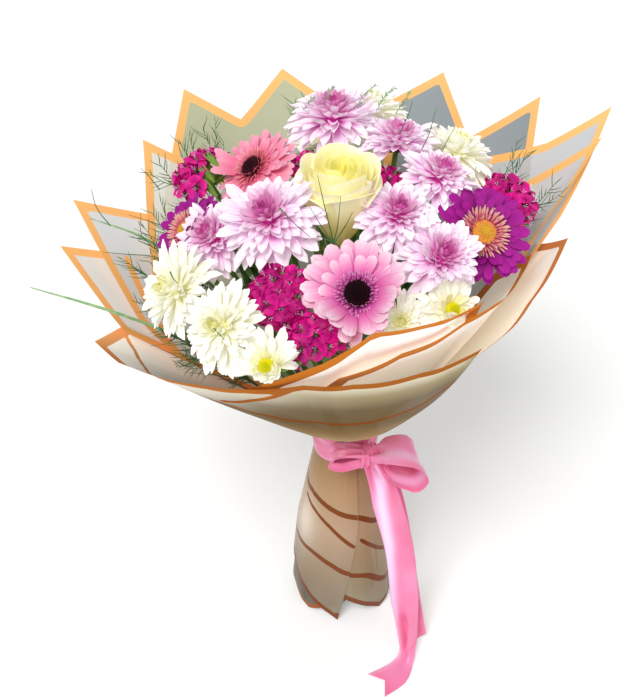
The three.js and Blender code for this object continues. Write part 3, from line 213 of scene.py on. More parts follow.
def add_piece(name, shape, material, replaces=()):
    """Makes a mesh piece that rides on the root, takes the given finish and stands for the nodes it replaces.
    """
    mesh = bpy.data.meshes.new(name)
    points = np.vstack(shape.points) * MM
    faces = [np.vstack(f) for f in shape.faces.values() if f]
    loops = np.concatenate([f.ravel() for f in faces])
    sizes = np.concatenate([np.full(len(f), f.shape[1]) for f in faces])
    mesh.vertices.add(len(points))
    mesh.vertices.foreach_set("co", points.ravel())
    mesh.loops.add(len(loops))
    mesh.loops.foreach_set("vertex_index", loops.astype(np.int32))
    mesh.polygons.add(len(sizes))
    mesh.polygons.foreach_set("loop_start", np.concatenate([[0], np.cumsum(sizes)[:-1]]).astype(np.int32))
    mesh.polygons.foreach_set("loop_total", sizes.astype(np.int32))
    mesh.update(calc_edges=True)
    mesh.validate()
    for key in sorted({key for _, values in shape.values for key in values}):
        attribute = mesh.attributes.new(key, "FLOAT", "POINT")
        attribute.data.foreach_set("value", shape.value(key).astype(np.float32))
    mesh.polygons.foreach_set("use_smooth", np.ones(len(mesh.polygons), bool))
    mesh.materials.append(material)
    piece = bpy.data.objects.new(name, mesh)
    bpy.context.scene.collection.objects.link(piece)
    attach(piece, "root")
    if replaces:
        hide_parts(*replaces)
    return piece


def tubes(paths, radii, sides):
    """Round tubes along paths of equal length (n, m, 3), tapering by radii (m,) or (n, m)."""
    paths = np.asarray(paths, float)
    if paths.ndim == 2:
        paths = paths[None]
    tangent = unit(np.gradient(paths, axis=1))
    guide = np.where(np.abs(tangent[:, :1, 2:]) > 0.9, np.array([1.0, 0.3, 0.0]), UP)
    side = unit(np.cross(tangent, guide))
    other = np.cross(tangent, side)
    turn = np.arange(sides) / sides * 2 * np.pi
    ring = side[:, :, None] * np.cos(turn)[:, None] + other[:, :, None] * np.sin(turn)[:, None]
    radii = np.broadcast_to(np.asarray(radii, float), paths.shape[:2])
    points = paths[:, :, None] + ring * radii[:, :, None, None]
    return points, grid_faces(paths.shape[1], sides, len(paths), closed=True)


# Colours and materials
def srgb(text):
    values = [int(text[i:i + 2], 16) / 255 for i in (1, 3, 5)]
    return tuple(v / 12.92 if v <= 0.04045 else ((v + 0.055) / 1.055) ** 2.4 for v in values) + (1.0,)


class Finish:
    """A procedural material, with one short call for each node."""

    def __init__(self, name, roughness, **sockets):
        self.material = bpy.data.materials.new(name)
        self.material.use_nodes = True
        self.tree = self.material.node_tree
        self.shader = self.tree.nodes["Principled BSDF"]
        self.shader.inputs["Roughness"].default_value = roughness
        for key, value in sockets.items():
            self.shader.inputs[key.replace("_", " ")].default_value = value

    def feed(self, socket, value):
        """Links another node's output to a socket, or sets the socket to a plain value."""
        if isinstance(value, bpy.types.NodeSocket):
            self.tree.links.new(value, socket)
        else:
            socket.default_value = value

    def drive(self, value, *names):
        """Feeds the shader's sockets."""
        for name in names:
            self.feed(self.shader.inputs[name], value)

    def node(self, kind, output=0, inputs=(), **settings):
        made = self.tree.nodes.new(kind)
        for key, value in settings.items():
            setattr(made, key, value)
        for key, value in dict(inputs).items():
            self.feed(made.inputs[key], value)
        return made.outputs[output]

    def attribute(self, name):
        return self.node("ShaderNodeAttribute", "Fac", attribute_name=name)

    def math(self, operation, a, b=0.0):
        return self.node("ShaderNodeMath", inputs={0: a, 1: b}, operation=operation)

    def times(self, a, b):
        return self.math("MULTIPLY", a, b)

    def clamp(self, value):
        return self.node("ShaderNodeClamp", inputs={0: value})

    def height(self):
        """Height over the floor, in metres."""
        return self.node("ShaderNodeSeparateXYZ", 2, {0: self.node("ShaderNodeNewGeometry", "Position")})

    def vector(self, x, y, z=0.0):
        return self.node("ShaderNodeCombineXYZ", inputs={0: x, 1: y, 2: z})

    def noise(self, scale, place=None, detail=3.0):
        if place is None:
            place = self.node("ShaderNodeTexCoord", "Object")
        return self.node("ShaderNodeTexNoise", inputs={"Vector": place, "Scale": scale, "Detail": detail})

    def ramp(self, factor, *stops):
        made = self.tree.nodes.new("ShaderNodeValToRGB")
        self.tree.links.new(factor, made.inputs[0])
        elements = made.color_ramp.elements
        while len(elements) < len(stops):
            elements.new(0.5)
        for element, (at, colour) in zip(elements, stops):
            element.position = at
            element.color = srgb(colour) if isinstance(colour, str) else (colour, colour, colour, 1)
        return made.outputs[0]

    def ramp_by_height(self, height, scale, stops):
        """A ramp over heights in metres; ramps end at 1, so scale makes the heights fit."""
        return self.ramp(self.times(height, scale), *[(at * scale, colour) for at, colour in stops])

    def mix(self, factor, a, b, blend="MIX"):
        a, b = (srgb(value) if isinstance(value, str) else value for value in (a, b))
        return self.node("ShaderNodeMix", 2, {0: factor, 6: a, 7: b}, data_type="RGBA", blend_type=blend)

    def bump(self, height, strength, distance):
        inputs = {"Height": height, "Strength": strength, "Distance": distance}
        self.drive(self.node("ShaderNodeBump", inputs=inputs), "Normal")


def petal_finish(name, along_stops, heart, heart_reach, vein, roughness=0.55, streaks=34.0, groove=0.35,
                 glow=0.05, sheen=0.1, darkest=0.93):
    """A petal: a colour from root to tip, a deeper heart of the head, fine veins, some petals darker."""
    finish = Finish(name, roughness, Sheen_Weight=sheen, Specular_IOR_Level=0.3, Emission_Strength=glow)
    along, across, tint, depth = (finish.attribute(key) for key in ("along", "across", "tint", "depth"))
    heart_share = finish.ramp(depth, (heart_reach * 0.25, 0.92), (heart_reach, 0.0))
    body = finish.mix(heart_share, finish.ramp(along, *along_stops), heart)
    place = finish.vector(finish.times(across, streaks * 0.28), finish.times(along, 1.6),
                          finish.times(tint, 90.0))
    veins = finish.noise(1.0, place, 4.0)
    body = finish.mix(finish.ramp(veins, (0.42, 0.0), (0.72, 0.55)), body, vein)
    shade = finish.ramp(tint, (0.0, darkest), (1.0, 1.0))
    # Emission in the petal's own colour, by glow, is a painted glow that lightens the crevices in shade
    finish.drive(finish.mix(1.0, body, shade, "MULTIPLY"), "Base Color", "Emission Color")
    finish.bump(veins, groove, 0.0008)
    return finish.material


def green_finish(name, dark, light, roughness=0.5, scale=160.0):
    finish = Finish(name, roughness, Subsurface_Weight=0.05, Subsurface_Scale=0.003)
    spots = finish.noise(scale, detail=4.0)
    body = finish.ramp(spots, (0.3, dark), (0.7, light))
    finish.drive(finish.mix(finish.times(finish.attribute("tint"), 0.45), body, light), "Base Color")
    finish.bump(spots, 0.25, 0.0006)
    return finish.material


# Scales that make heights in metres fit a ramp: those of the whole bunch, and those of the sleeve
BUNCH_SCALE = 1.6
SLEEVE_SCALE = 4.0
# Height in metres at which the cone's tone turns into the sleeve's, and how sharply it does
SLEEVE_TOP = 0.25
SLEEVE_SHARPNESS = 60
BAND_SHARPNESS = 2.5
# Widths of the printed band along most edges and along the foot, in mm
BAND_WIDTH = 8.0
FOOT_BAND_WIDTH = 5.5


def film_finish(name, cone, sleeve, band, alpha, glow):
    """Frosted film with a printed band along its edges, which the edge attribute (mm) places."""
    finish = Finish(name, 0.42)
    height, pale = finish.height(), finish.attribute("pale")
    low = finish.clamp(finish.times(finish.math("SUBTRACT", SLEEVE_TOP, height), SLEEVE_SHARPNESS))
    # The cone's tone by height holds painted shade, darker where the film lies in shade below its rim
    cone_part = finish.ramp_by_height(height, BUNCH_SCALE, cone)
    body = finish.mix(low, cone_part, finish.ramp_by_height(height, SLEEVE_SCALE, sleeve))
    cloud = finish.ramp(finish.noise(7.0, detail=2.0), (0.42, 0.0), (0.72, 0.12))
    body = finish.mix(cloud, body, "#FFFFFF")
    # The pale patches: paler where the film folds over itself, and lit by a painted glow where they lie in
    # shade; their print is paler too
    body = finish.mix(pale, body, "#F1EEE2")
    inside = finish.math("SUBTRACT", BAND_WIDTH, finish.attribute("edge"))
    mask = finish.clamp(finish.times(inside, BAND_SHARPNESS))
    band_tone = finish.ramp_by_height(height, BUNCH_SCALE, band)
    band_tone = finish.mix(finish.math("POWER", pale, 3.0), band_tone, "#F0A662")
    finish.drive(finish.mix(mask, body, band_tone), "Base Color", "Emission Color")
    # Painted glow: emission that stands in for light shining through the film above the sleeve
    through = finish.times(finish.math("SUBTRACT", 1.0, low), glow)
    finish.drive(finish.math("ADD", through, finish.times(pale, 0.6)), "Emission Strength")
    finish.drive(finish.times(low, 0.14), "Specular IOR Level")
    finish.drive(finish.ramp(mask, (0.0, alpha), (1.0, 0.97)), "Alpha")
    finish.drive(finish.ramp(mask, (0.0, 0.36), (1.0, 0.3)), "Roughness")
    finish.bump(finish.noise(30.0), 0.12, 0.004)
    return finish.material


def satin_finish():
    finish = Finish("satin_ribbon_finish", 0.32, Sheen_Weight=0.2, Sheen_Roughness=0.35, Anisotropic=0.55,
                    Specular_IOR_Level=0.5)
    across, along, lustre = (finish.attribute(key) for key in ("across", "along", "lustre"))
    threads = finish.noise(1.0, finish.vector(finish.times(across, 90.0), finish.times(along, 0.25)))
    body = finish.ramp(finish.noise(22.0, detail=1.0), (0.3, "#E45F92"), (0.52, "#EE78A4"), (0.72, "#EE8AB8"))
    body = finish.mix(finish.ramp(threads, (0.4, 0.0), (0.7, 0.22)), body, "#F6A6C8")
    # Painted highlight: lavender-white mixed into the colour where the ribbon would catch the light
    finish.drive(finish.mix(finish.times(lustre, 0.95), body, "#F6DCFF"), "Base Color")
    finish.bump(threads, 0.2, 0.0003)
    return finish.material


def eye_finish(name, inner, outer):
    finish = Finish(name, 0.85, Specular_IOR_Level=0.15)
    tips = finish.ramp(finish.attribute("along"), (0.35, 0.0), (0.95, 1.0))
    ground = finish.ramp(finish.attribute("depth"), (0.25, inner), (0.8, outer))
    finish.drive(finish.mix(finish.times(tips, 0.6), ground, outer), "Base Color")
    finish.bump(finish.noise(700.0), 0.4, 0.0006)
    return finish.material


# Ray petals have closer streaks and deeper grooves
RAY = {"streaks": 60.0, "groove": 0.6, "sheen": 0.0}
PETALS = {
    "lilac": petal_finish(
        "lilac_petal_finish",
        [(0.0, "#DA1EA6"), (0.24, "#F08CD6"), (0.48, "#FCE0F5"), (0.8, "#FFFAFE"), (1.0, "#FFFFFF")],
        "#D0089C", 0.52, "#E48CCE", glow=0.11),
    "white": petal_finish(
        "white_petal_finish", [(0.0, "#EDE9AE"), (0.3, "#F9F7E0"), (0.7, "#FDFDF4"), (1.0, "#FFFFFC")],
        "#ECE890", 0.34, "#EEEACA", glow=0.13),
    "pink": petal_finish(
        "pink_petal_finish",
        [(0.0, "#C42C96"), (0.3, "#E65CAE"), (0.62, "#F39CC8"), (0.85, "#FACDE0"), (1.0, "#FFEEF3")],
        "#B0247C", 0.32, "#DA60AA", glow=0.08, **RAY),
    "salmon": petal_finish(
        "salmon_petal_finish", [(0.0, "#EA4A80"), (0.5, "#F780A4"), (1.0, "#FDBDCF")],
        "#D84068", 0.3, "#EA6490", glow=0.1, **RAY),
    "magenta": petal_finish(
        "magenta_petal_finish", [(0.0, "#6A0058"), (0.5, "#98007E"), (1.0, "#B80E9E")],
        "#720060", 0.3, "#74006A", **RAY),
    # The rose's petals darken to olive at the root, partly their own tone and partly painted shade low in the
    # bloom
    "cream": petal_finish(
        "rose_petal_finish", [(0.0, "#B09A3C"), (0.4, "#E2D27C"), (0.7, "#FAF3BC"), (1.0, "#FFFCE4")],
        "#FDF784", 0.85, "#F4EAA4", roughness=0.6, streaks=20.0, groove=0.15, glow=0.13),
    "carmine": petal_finish(
        "dianthus_petal_finish", [(0.0, "#5E0040"), (0.3, "#C4007E"), (1.0, "#F01096")],
        "#7A0058", 0.12, "#B40078", streaks=30.0, groove=0.3, glow=0.12, sheen=0.0, darkest=0.5),
}
EYES = {
    "pink_gerbera": eye_finish("dark_eye_finish", "#0A0406", "#2A0814"),
    "salmon_gerbera": eye_finish("salmon_eye_finish", "#16080C", "#481824"),
    "magenta_gerbera_right": eye_finish("gold_eye_finish", "#E6D21C", "#F2A25A"),
    "magenta_gerbera_left": eye_finish("left_eye_finish", "#E0C820", "#E89858"),
    "white_mum_front": eye_finish("front_eye_finish", "#C8D420", "#F4E616"),
    "white_mum_right_front": eye_finish("right_eye_finish", "#C8D420", "#F4E616"),
}
FRINGE = {
    "pink": petal_finish("pink_fringe_finish", [(0.0, "#A01870"), (0.6, "#D04AA4"), (1.0, "#F7C8E8")],
                         "#8A1058", 0.2, "#B02A80"),
    "salmon": petal_finish("salmon_fringe_finish", [(0.0, "#D04860"), (0.6, "#F27C90"), (1.0, "#FBC0C8")],
                           "#C03850", 0.2, "#D8586C"),
    "magenta": petal_finish("magenta_fringe_finish", [(0.0, "#B02050"), (0.55, "#E07088"), (1.0, "#F8DCB0")],
                            "#C04050", 0.2, "#D07080"),
}
STEM_GREEN = green_finish("stem_finish", "#3E6A2C", "#6C9A48")
LEAF_GREEN = green_finish("leaf_finish", "#2F5A30", "#5E8F48", scale=90.0)
CALYX_GREEN = green_finish("calyx_finish", "#4C7A26", "#86AE44", scale=200.0)
FERN_GREEN = green_finish("fern_finish", "#154A2A", "#4C8E54", roughness=0.45)
GRASS_GREEN = green_finish("grass_finish", "#5E9860", "#B4D898", roughness=0.4)
SPRIG_GREEN = green_finish("sprig_finish", "#5E9E6C", "#B4D6A8")
STAMEN_PALE = green_finish("stamen_finish", "#D8B8D8", "#F6ECF2")
SATIN = satin_finish()


# Heads and the room that each has
class Head:
    """One bloom: its place, its axes (across, up, out of the face) and the planes that bound its room."""

    def __init__(self, name, around, lean, reach, radius, face, face_turn=None):
        self.name, self.around, self.lean, self.radius = name, around, lean, radius
        self.colour, self.kind = name.split("_")[:2]
        if name in OPEN_MUMS:
            self.kind = "open_mum"
        self.slot = f"{self.colour}_petals"
        self.toward = direction(lean, around)
        self.centre = TIE + self.toward * reach
        self.normal = direction(face, around if face_turn is None else face_turn)
        across = unit(np.cross(UP, self.normal))
        self.axes = np.stack([across, np.cross(self.normal, across), self.normal])

    def place(self, local):
        return self.centre + local @ self.axes


HEADS = [Head(*row) for row in FLOWERS]
# Heads further apart than this, in degrees, don't bound each other's room
NEIGHBOUR_ANGLE = 24.0


def room_planes(head):
    """Normals of the planes through the tie that part a head from its neighbours, by their sizes."""
    planes = []
    for other in HEADS:
        apart = math.acos(min(1.0, float(head.toward @ other.toward)))
        if other is head or math.degrees(apart) > NEIGHBOUR_ANGLE:
            continue
        share = apart * head.radius / (head.radius + other.radius)
        sideways = unit(other.toward - head.toward * (other.toward @ head.toward))
        planes.append(head.toward * math.sin(share) - sideways * math.cos(share))
    return np.array(planes)


for head in HEADS:
    head.planes = room_planes(head)


def rim_slant(rim, around):
    """Slant length of the rim: straight on the flat sheet between two corners."""
    angles = np.array([corner[0] for corner in rim], float)
    index = np.clip(np.searchsorted(angles, around, side="right") - 1, 0, len(rim) - 2)
    table = np.array(rim, float)
    low, high = table[index], table[index + 1]
    unroll = np.sin(np.radians((low[..., 2] + high[..., 2]) / 2)) * math.pi / 180
    before = np.sin((around - low[..., 0]) * unroll)
    after = np.sin((high[..., 0] - around) * unroll)
    whole = np.sin((high[..., 0] - low[..., 0]) * unroll)
    return low[..., 1] * high[..., 1] * whole / (low[..., 1] * before + high[..., 1] * after)


def flare_at(rim, around):
    return np.interp(around, [corner[0] for corner in rim], [corner[2] for corner in rim])


def bearing(points):
    """Angles round the axis, in degrees."""
    return np.degrees(np.arctan2(points[..., 0], -points[..., 1]))


# How far past its rim a sheet still bounds the heads' room
PAST_RIM = 40.0


def beyond_film(points):
    """How far points stand outside the film, in mm; negative inside it."""
    around = bearing(points)
    radius = np.hypot(points[..., 0], points[..., 1])
    worst = np.full(radius.shape, -FAR)
    for name, layer, rim, _ in SHEETS:
        for turn in (around, around - 360, around + 360):
            inside = (turn >= rim[0][0]) & (turn <= rim[-1][0])
            held = np.clip(turn, rim[0][0], rim[-1][0])
            flare = np.radians(flare_at(rim, held))
            along = (points[..., 2] - NECK_HIGH) / np.cos(flare)
            inside &= along <= rim_slant(rim, held) + PAST_RIM
            lean_in = belly(name, held, along) / np.cos(flare)
            over = radius - (FILM_NECK_RADIUS + FILM_LAYER_STEP * layer + along * np.sin(flare) + lean_in)
            worst = np.where(inside, np.maximum(worst, over), worst)
    return worst


# Room kept to the film, and how far soft petals may reach past their head's planes
FILM_CLEARANCE = 2.0
PETAL_OVERLAP = 6.5


def trespass(head, local):
    """How far each petal leaves its head's room, past the overlap that soft petals may have."""
    points = head.place(local)
    over = beyond_film(points) + FILM_CLEARANCE
    if len(head.planes):
        past = -((points - TIE) @ head.planes.T).min(-1) - PETAL_OVERLAP
        over = np.maximum(over, past)
    return over.reshape(len(local), -1).max(-1)


def petal_grid(petal, profile, steps):
    """Petals in their head's frame: every value is an array with one number a petal."""
    along = np.linspace(0, 1, steps[0])
    across = np.linspace(-1, 1, steps[1])
    angle = np.radians(petal["rise"][:, None] + (petal["tip"] - petal["rise"])[:, None] * along**1.3)
    step = petal["length"][:, None] / (steps[0] - 1)
    middle = (angle[:, 1:] + angle[:, :-1]) / 2
    zero = np.zeros((len(angle), 1))
    radial = petal["base"][:, None] + np.hstack([zero, np.cumsum(np.cos(middle) * step, 1)])
    height = petal["height"][:, None] + np.hstack([zero, np.cumsum(np.sin(middle) * step, 1)])
    half = petal["width"][:, None] / 2 * np.interp(along, *profile)
    twist = petal["twist"][:, None, None] * along[:, None]
    offset = half[..., None] * across
    lift = petal["cup"][:, None, None] * half[..., None] * (across**2 - 0.3) + offset * np.sin(twist)
    lift = lift + petal["groove"][:, None, None] * half[..., None] * np.cos(3 * np.pi * across)
    sideways = offset * np.cos(twist) + (petal["sway"] * petal["length"])[:, None, None] * (along**2)[:, None]
    out = radial[..., None] - np.sin(angle)[..., None] * lift
    up = height[..., None] + np.cos(angle)[..., None] * lift
    turn = petal["turn"][:, None, None]
    x = out * np.cos(turn) - sideways * np.sin(turn)
    y = out * np.sin(turn) + sideways * np.cos(turn)
    return np.stack(np.broadcast_arrays(x, y, up), -1)


# Steps by which a petal is lifted (degrees) and shortened (shares) until it fits, and its steepest angles
LIFTS = np.arange(0, 64, 8)
SHORTENING = (1.0, 0.85, 0.7, 0.55, 0.4)
STEEPEST_RISE = 84
STEEPEST_TIP = 92


def fitted_petals(head, petal, profile, steps):
    """Petals that would leave their head's room are lifted, then shortened."""
    result = petal_grid(petal, profile, steps)
    open_ones = trespass(head, result) > 0
    for share in SHORTENING:
        for lift in LIFTS:
            picked = np.nonzero(open_ones)[0]
            if not len(picked):
                return result
            trial = {key: value[picked].copy() for key, value in petal.items()}
            trial["rise"] = np.minimum(trial["rise"] + lift, np.maximum(trial["rise"], STEEPEST_RISE))
            trial["tip"] = np.minimum(trial["tip"] + lift * 1.1, np.maximum(trial["tip"], STEEPEST_TIP))
            trial["length"] = trial["length"] * share
            points = petal_grid(trial, profile, steps)
            result[picked] = points
            open_ones[picked] = trespass(head, points) > 0
    return result


def add_petals(shape, head, row, rng, profile, steps, number, rows):
    """One row of petals: row gives its measures as shares of the head's radius."""
    count, R = row["count"], head.radius

    def spread(amount):
        return 1 + amount * (rng.random(count) * 2 - 1)

    def shift(amount):
        return amount * (rng.random(count) * 2 - 1)

    petal = {
        "turn": (np.arange(count) + 0.5 * (number % 2)) / count * 2 * np.pi + shift(0.35 * 2 * np.pi / count),
        "base": R * row["base"] * spread(0.06),
        "height": R * row["height"] + shift(0.02 * R),
        "rise": row["rise"] + shift(row.get("ragged", 6)),
        "tip": row["tip"] + shift(row.get("ragged", 6) * 2),
        "length": R * row["length"] * spread(0.09),
        "width": R * row["width"] * spread(0.12),
        "cup": row.get("cup", 0.4) * spread(0.5),
        "groove": np.full(count, row.get("groove", 0.0)),
        "twist": shift(row.get("twist", 0.3)),
        "sway": shift(0.12),
    }
    points = fitted_petals(head, petal, profile, steps)
    depth = np.hypot(points[..., 0], points[..., 1]) / R
    depth = 0.6 * depth + 0.4 * (1 - number / max(rows - 1, 1))
    shape.add(head.place(points), grid_faces(*steps, count), **grid_values(steps),
              tint=rng.random(count)[:, None, None], depth=depth)


def graded_rows(first, last, counts):
    """Rows between the outermost and the innermost, each measure moving evenly."""
    rows = []
    for i, count in enumerate(counts):
        share = i / (len(counts) - 1)
        row = {key: first[key] + (last[key] - first[key]) * share for key in first}
        rows.append({**row, "count": count})
    return rows


# Half width of a petal at shares of its length
MUM_PROFILE = ([0, 0.15, 0.4, 0.68, 0.86, 0.96, 1], [0.4, 0.55, 0.82, 1, 0.86, 0.5, 0.14])
GERBERA_PROFILE = ([0, 0.1, 0.35, 0.7, 0.9, 0.98, 1], [0.34, 0.5, 0.84, 1, 0.86, 0.5, 0.3])
QUILL_PROFILE = ([0, 0.5, 0.85, 1], [0.7, 0.8, 1, 0.25])
MUM_ROWS = {
    "lilac": graded_rows(
        dict(base=0.26, height=-0.06, rise=-12, tip=-34, length=0.87, width=0.25, cup=0.6, ragged=11),
        dict(base=0.03, height=0.2, rise=84, tip=104, length=0.26, width=0.12, cup=0.9, ragged=8),
        (22, 22, 21, 20, 18, 16, 13, 11, 8, 5)),
    "white": graded_rows(
        dict(base=0.26, height=-0.06, rise=-8, tip=-26, length=0.88, width=0.22, cup=0.7, ragged=13),
        dict(base=0.03, height=0.2, rise=82, tip=112, length=0.3, width=0.11, cup=1.0, ragged=10),
        (20, 20, 19, 18, 16, 14, 12, 9, 6)),
}
OPEN_ROWS = graded_rows(
    dict(base=0.2, height=-0.04, rise=-4, tip=-16, length=0.9, width=0.24, cup=0.5, ragged=8),
    dict(base=0.17, height=0.14, rise=40, tip=58, length=0.44, width=0.17, cup=0.6, ragged=10),
    (18, 18, 16, 14, 12))
# The rows of a gerbera count as the outermost of this many, for the depth of their tone
GERBERA_ROW_COUNT = 9


def gerbera_rows(counts, width, fringe):
    """Ray petals in three rows, and the fringe of short quills round the eye."""
    rays = [
        dict(height=-0.04, rise=-2, tip=-10, length=0.8, width=width, cup=-0.12, ragged=3, twist=0.12),
        dict(height=0.0, rise=7, tip=3, length=0.72, width=width * 0.96, cup=-0.1, ragged=4, twist=0.15),
        dict(height=0.03, rise=14, tip=10, length=0.5, width=width * 0.72, cup=0.1, ragged=7),
    ]
    quills = [
        dict(count=52, base=0.25, height=0.05, rise=20, tip=30, length=0.2 * fringe, width=0.045, ragged=10),
        dict(count=46, base=0.23, height=0.07, rise=42, tip=38, length=0.18 * fringe, width=0.04, ragged=10),
        dict(count=36, base=0.21, height=0.09, rise=64, tip=58, length=0.14 * fringe, width=0.035, ragged=9),
    ]
    return [dict(row, count=count, base=0.24, groove=0.05) for row, count in zip(rays, counts)], quills


GERBERAS = {
    "pink": gerbera_rows((21, 19, 17), 0.29, 1.0),
    "salmon": gerbera_rows((30, 28, 25), 0.2, 1.3),
    "magenta": gerbera_rows((24, 22, 16), 0.26, 1.6),
}
BRACT_ROWS = [
    dict(count=15, base=0.14, height=-0.2, rise=2, tip=24, length=0.27, width=0.12),
    dict(count=13, base=0.08, height=-0.25, rise=8, tip=38, length=0.22, width=0.12),
]
# The rose has sepals in place of bracts
ROSE_SEPALS = dict(count=5, base=0.12, rise=-20, tip=-55, length=0.7, width=0.2)


def core_shape(shape, head, profile, sides=18, **values):
    """A solid of revolution about the head's axis: profile is (radius, height) as shares of the radius."""
    profile = np.array(profile, float) * head.radius
    turn = np.arange(sides) / sides * 2 * np.pi
    points = np.stack([np.outer(profile[:, 0], np.cos(turn)), np.outer(profile[:, 0], np.sin(turn)),
                       np.repeat(profile[:, 1:], sides, 1)], -1)
    shape.add(head.place(points), grid_faces(len(profile), sides, closed=True), **values)


def add_bloom(head, shape):
    add_piece(head.name, shape, PETALS[head.colour], (head.name,))


def mum(head, rng):
    rows = OPEN_ROWS if head.kind == "open_mum" else MUM_ROWS[head.colour]
    shape = Shape()
    core = [(0.001, -0.2), (0.2, -0.18), (0.3, -0.04), (0.24, 0.12), (0.12, 0.2), (0.001, 0.22)]
    core_shape(shape, head, core, depth=0.2, along=0.1)
    for number, row in enumerate(rows):
        add_petals(shape, head, row, rng, MUM_PROFILE, (9, 5), number, len(rows))
    add_bloom(head, shape)


def gerbera(head, rng):
    shape, fringe = Shape(), Shape()
    core = [(0.001, -0.18), (0.14, -0.16), (0.27, -0.03), (0.25, 0.05), (0.001, 0.07)]
    core_shape(shape, head, core, depth=0.2, along=0.1)
    rays, quills = GERBERAS[head.colour]
    for number, row in enumerate(rays):
        add_petals(shape, head, row, rng, GERBERA_PROFILE, (10, 7), number, GERBERA_ROW_COUNT)
    add_bloom(head, shape)
    for number, row in enumerate(quills):
        add_petals(fringe, head, row, rng, QUILL_PROFILE, (5, 3), number, GERBERA_ROW_COUNT)
    add_piece(f"{head.name}_fringe", fringe, FRINGE[head.colour])


# Eyes: height of the base and radius, as shares of the head's radius, and the number of disc florets
EYE_MEASURES = {"gerbera": (0.07, 0.24), "open_mum": (0.2, 0.19)}
DISC_FLORETS = 170


def eye(head, base, share, rng):
    """A domed eye of small pointed disc florets, in a spiral."""
    R = head.radius * share
    shape = Shape()
    order = np.arange(DISC_FLORETS) + 0.5
    radius = R * np.sqrt(order / DISC_FLORETS)
    turn = order * GOLDEN_TURN
    height = head.radius * base + 0.35 * R + 0.3 * R * np.cos(radius / R * np.pi * 0.9)
    foot = np.stack([radius * np.cos(turn), radius * np.sin(turn), height], -1)
    lean = np.stack([np.cos(turn), np.sin(turn), 0 * turn], -1) * (0.5 * radius / R)[:, None] + UP
    length = R * (0.2 + 0.1 * rng.random(DISC_FLORETS))
    stops = np.array([-0.8, 0.2, 0.8, 1.0])
    path = foot[:, None] + unit(lean)[:, None] * (length[:, None] * stops)[..., None]
    points, faces = tubes(path, R * 0.09 * np.array([0.9, 1.0, 0.9, 0.25]), 6)
    shape.add(head.place(points), faces, depth=(radius / R)[:, None, None],
              along=np.linspace(0, 1, len(stops))[:, None])
    dome = [(0.001, base + 0.01), (share, base + 0.02), (share, base + 0.3 * share),
            (share * 0.5, base + share * 0.5), (0.001, base + share * 0.6)]
    core_shape(shape, head, dome, depth=0.4, along=0.0)
    add_piece(f"{head.name}_eye", shape, EYES[head.name], (f"{head.name}_eye",))


# Petal whorls of the rose, from the outermost: count, belly, top, flare, half span
ROSE_WHORLS = [
    (5, 1.0, 0.74, 0.24, 0.86), (5, 0.93, 0.9, 0.13, 0.9), (4, 0.8, 0.97, 0.06, 1.0),
    (4, 0.66, 0.99, 0.02, 1.0), (3, 0.52, 0.97, 0.0, 1.2), (3, 0.4, 0.94, -0.02, 1.25),
    (3, 0.28, 0.92, -0.03, 1.3), (2, 0.18, 0.9, -0.02, 1.8), (2, 0.1, 0.88, 0.0, 2.2),
]
# Share of a rose petal's length from which its lip curls
LIP_FROM = 0.74


def rose(head, rng):
    shape, R, steps = Shape(), head.radius, (18, 19)
    t = np.linspace(0, 1, steps[0])[:, None]
    u = np.linspace(-1, 1, steps[1])
    lip = np.maximum(t - LIP_FROM, 0) / (1 - LIP_FROM)
    low = -CORE_DEPTH["rose"] * R
    for whorl, (count, belly_share, top, flare, span) in enumerate(ROSE_WHORLS):
        for i in range(count):
            phase = rng.random() * PHASES
            turn = (i + 0.37 * whorl) / count * 2 * math.pi + whorl * 1.3 + 0.35 * rng.random()
            angle = turn + u * span * (0.42 + 0.58 * np.sqrt(t))
            reach = belly_share * (0.96 + 0.08 * rng.random())
            radius = 0.9 * R * (0.1 + (reach - 0.1) * np.sin(np.minimum(t * 1.15, 1) * math.pi / 2) ** 0.9)
            radius = radius + R * flare * lip**2 - 0.07 * R * u * t * (whorl > 0) - 0.05 * R * u**2 * t
            radius = radius + 0.014 * R * np.sin(3.4 * u + phase) * t
            rise = (top * R - low) * (1 + 0.035 * math.sin(phase))
            height = low + 2 + rise * t * (1 - 0.12 * u**4) - R * flare * 0.75 * lip**3
            height = height + 0.035 * R * np.sin(4.2 * u + phase) * lip
            local = np.stack([radius * np.cos(angle), radius * np.sin(angle), height], -1)
            for _ in range(3):
                if trespass(head, local[None])[0] <= 0:
                    break
                local[..., :2] *= 0.95
            shape.add(head.place(local), grid_faces(*steps), **grid_values(steps), tint=rng.random(),
                      depth=1 - whorl / (len(ROSE_WHORLS) - 1))
    add_bloom(head, shape)


# Room that florets and needles, and thin tubes and shoots, keep to the film
FINE_CLEARANCE = 1
SPRIG_CLEARANCE = 3
FLORET_PETALS = 5
FLORET_STEPS = (6, 11)
FLORET_HALF_ANGLE = 37
LARGEST_FLORET = 10.8
# Share of a floret's radius at which its throat begins
THROAT = 0.06


def floret(radius, rng):
    """A five-petalled floret with toothed tips, its throat at the origin and its face towards +Z."""
    t = np.linspace(THROAT, 1, FLORET_STEPS[0])[:, None]
    u = np.linspace(-1, 1, FLORET_STEPS[1])
    width = math.radians(FLORET_HALF_ANGLE) * (0.35 + 0.65 * np.sqrt(t))
    grids = []
    for k in range(FLORET_PETALS):
        phase = rng.random() * PHASES
        turn = k * 2 * math.pi / FLORET_PETALS + 0.12 * (rng.random() - 0.5)
        teeth = 1 - 0.09 * np.abs(np.sin(u * 4.5 * math.pi / 2 + phase)) * (t > 0.99) - 0.16 * u**4 * t
        reach = radius * t * teeth
        angle = turn + u * width
        height = radius * (0.16 * np.sin(u * 2.6 + phase) * t**2 - 0.34 * (1 - t) ** 2 + 0.1 * (k % 2) * t)
        height = height - radius * 0.12 * t**3
        grids.append(np.stack([reach * np.cos(angle), reach * np.sin(angle), height], -1))
    return np.array(grids)


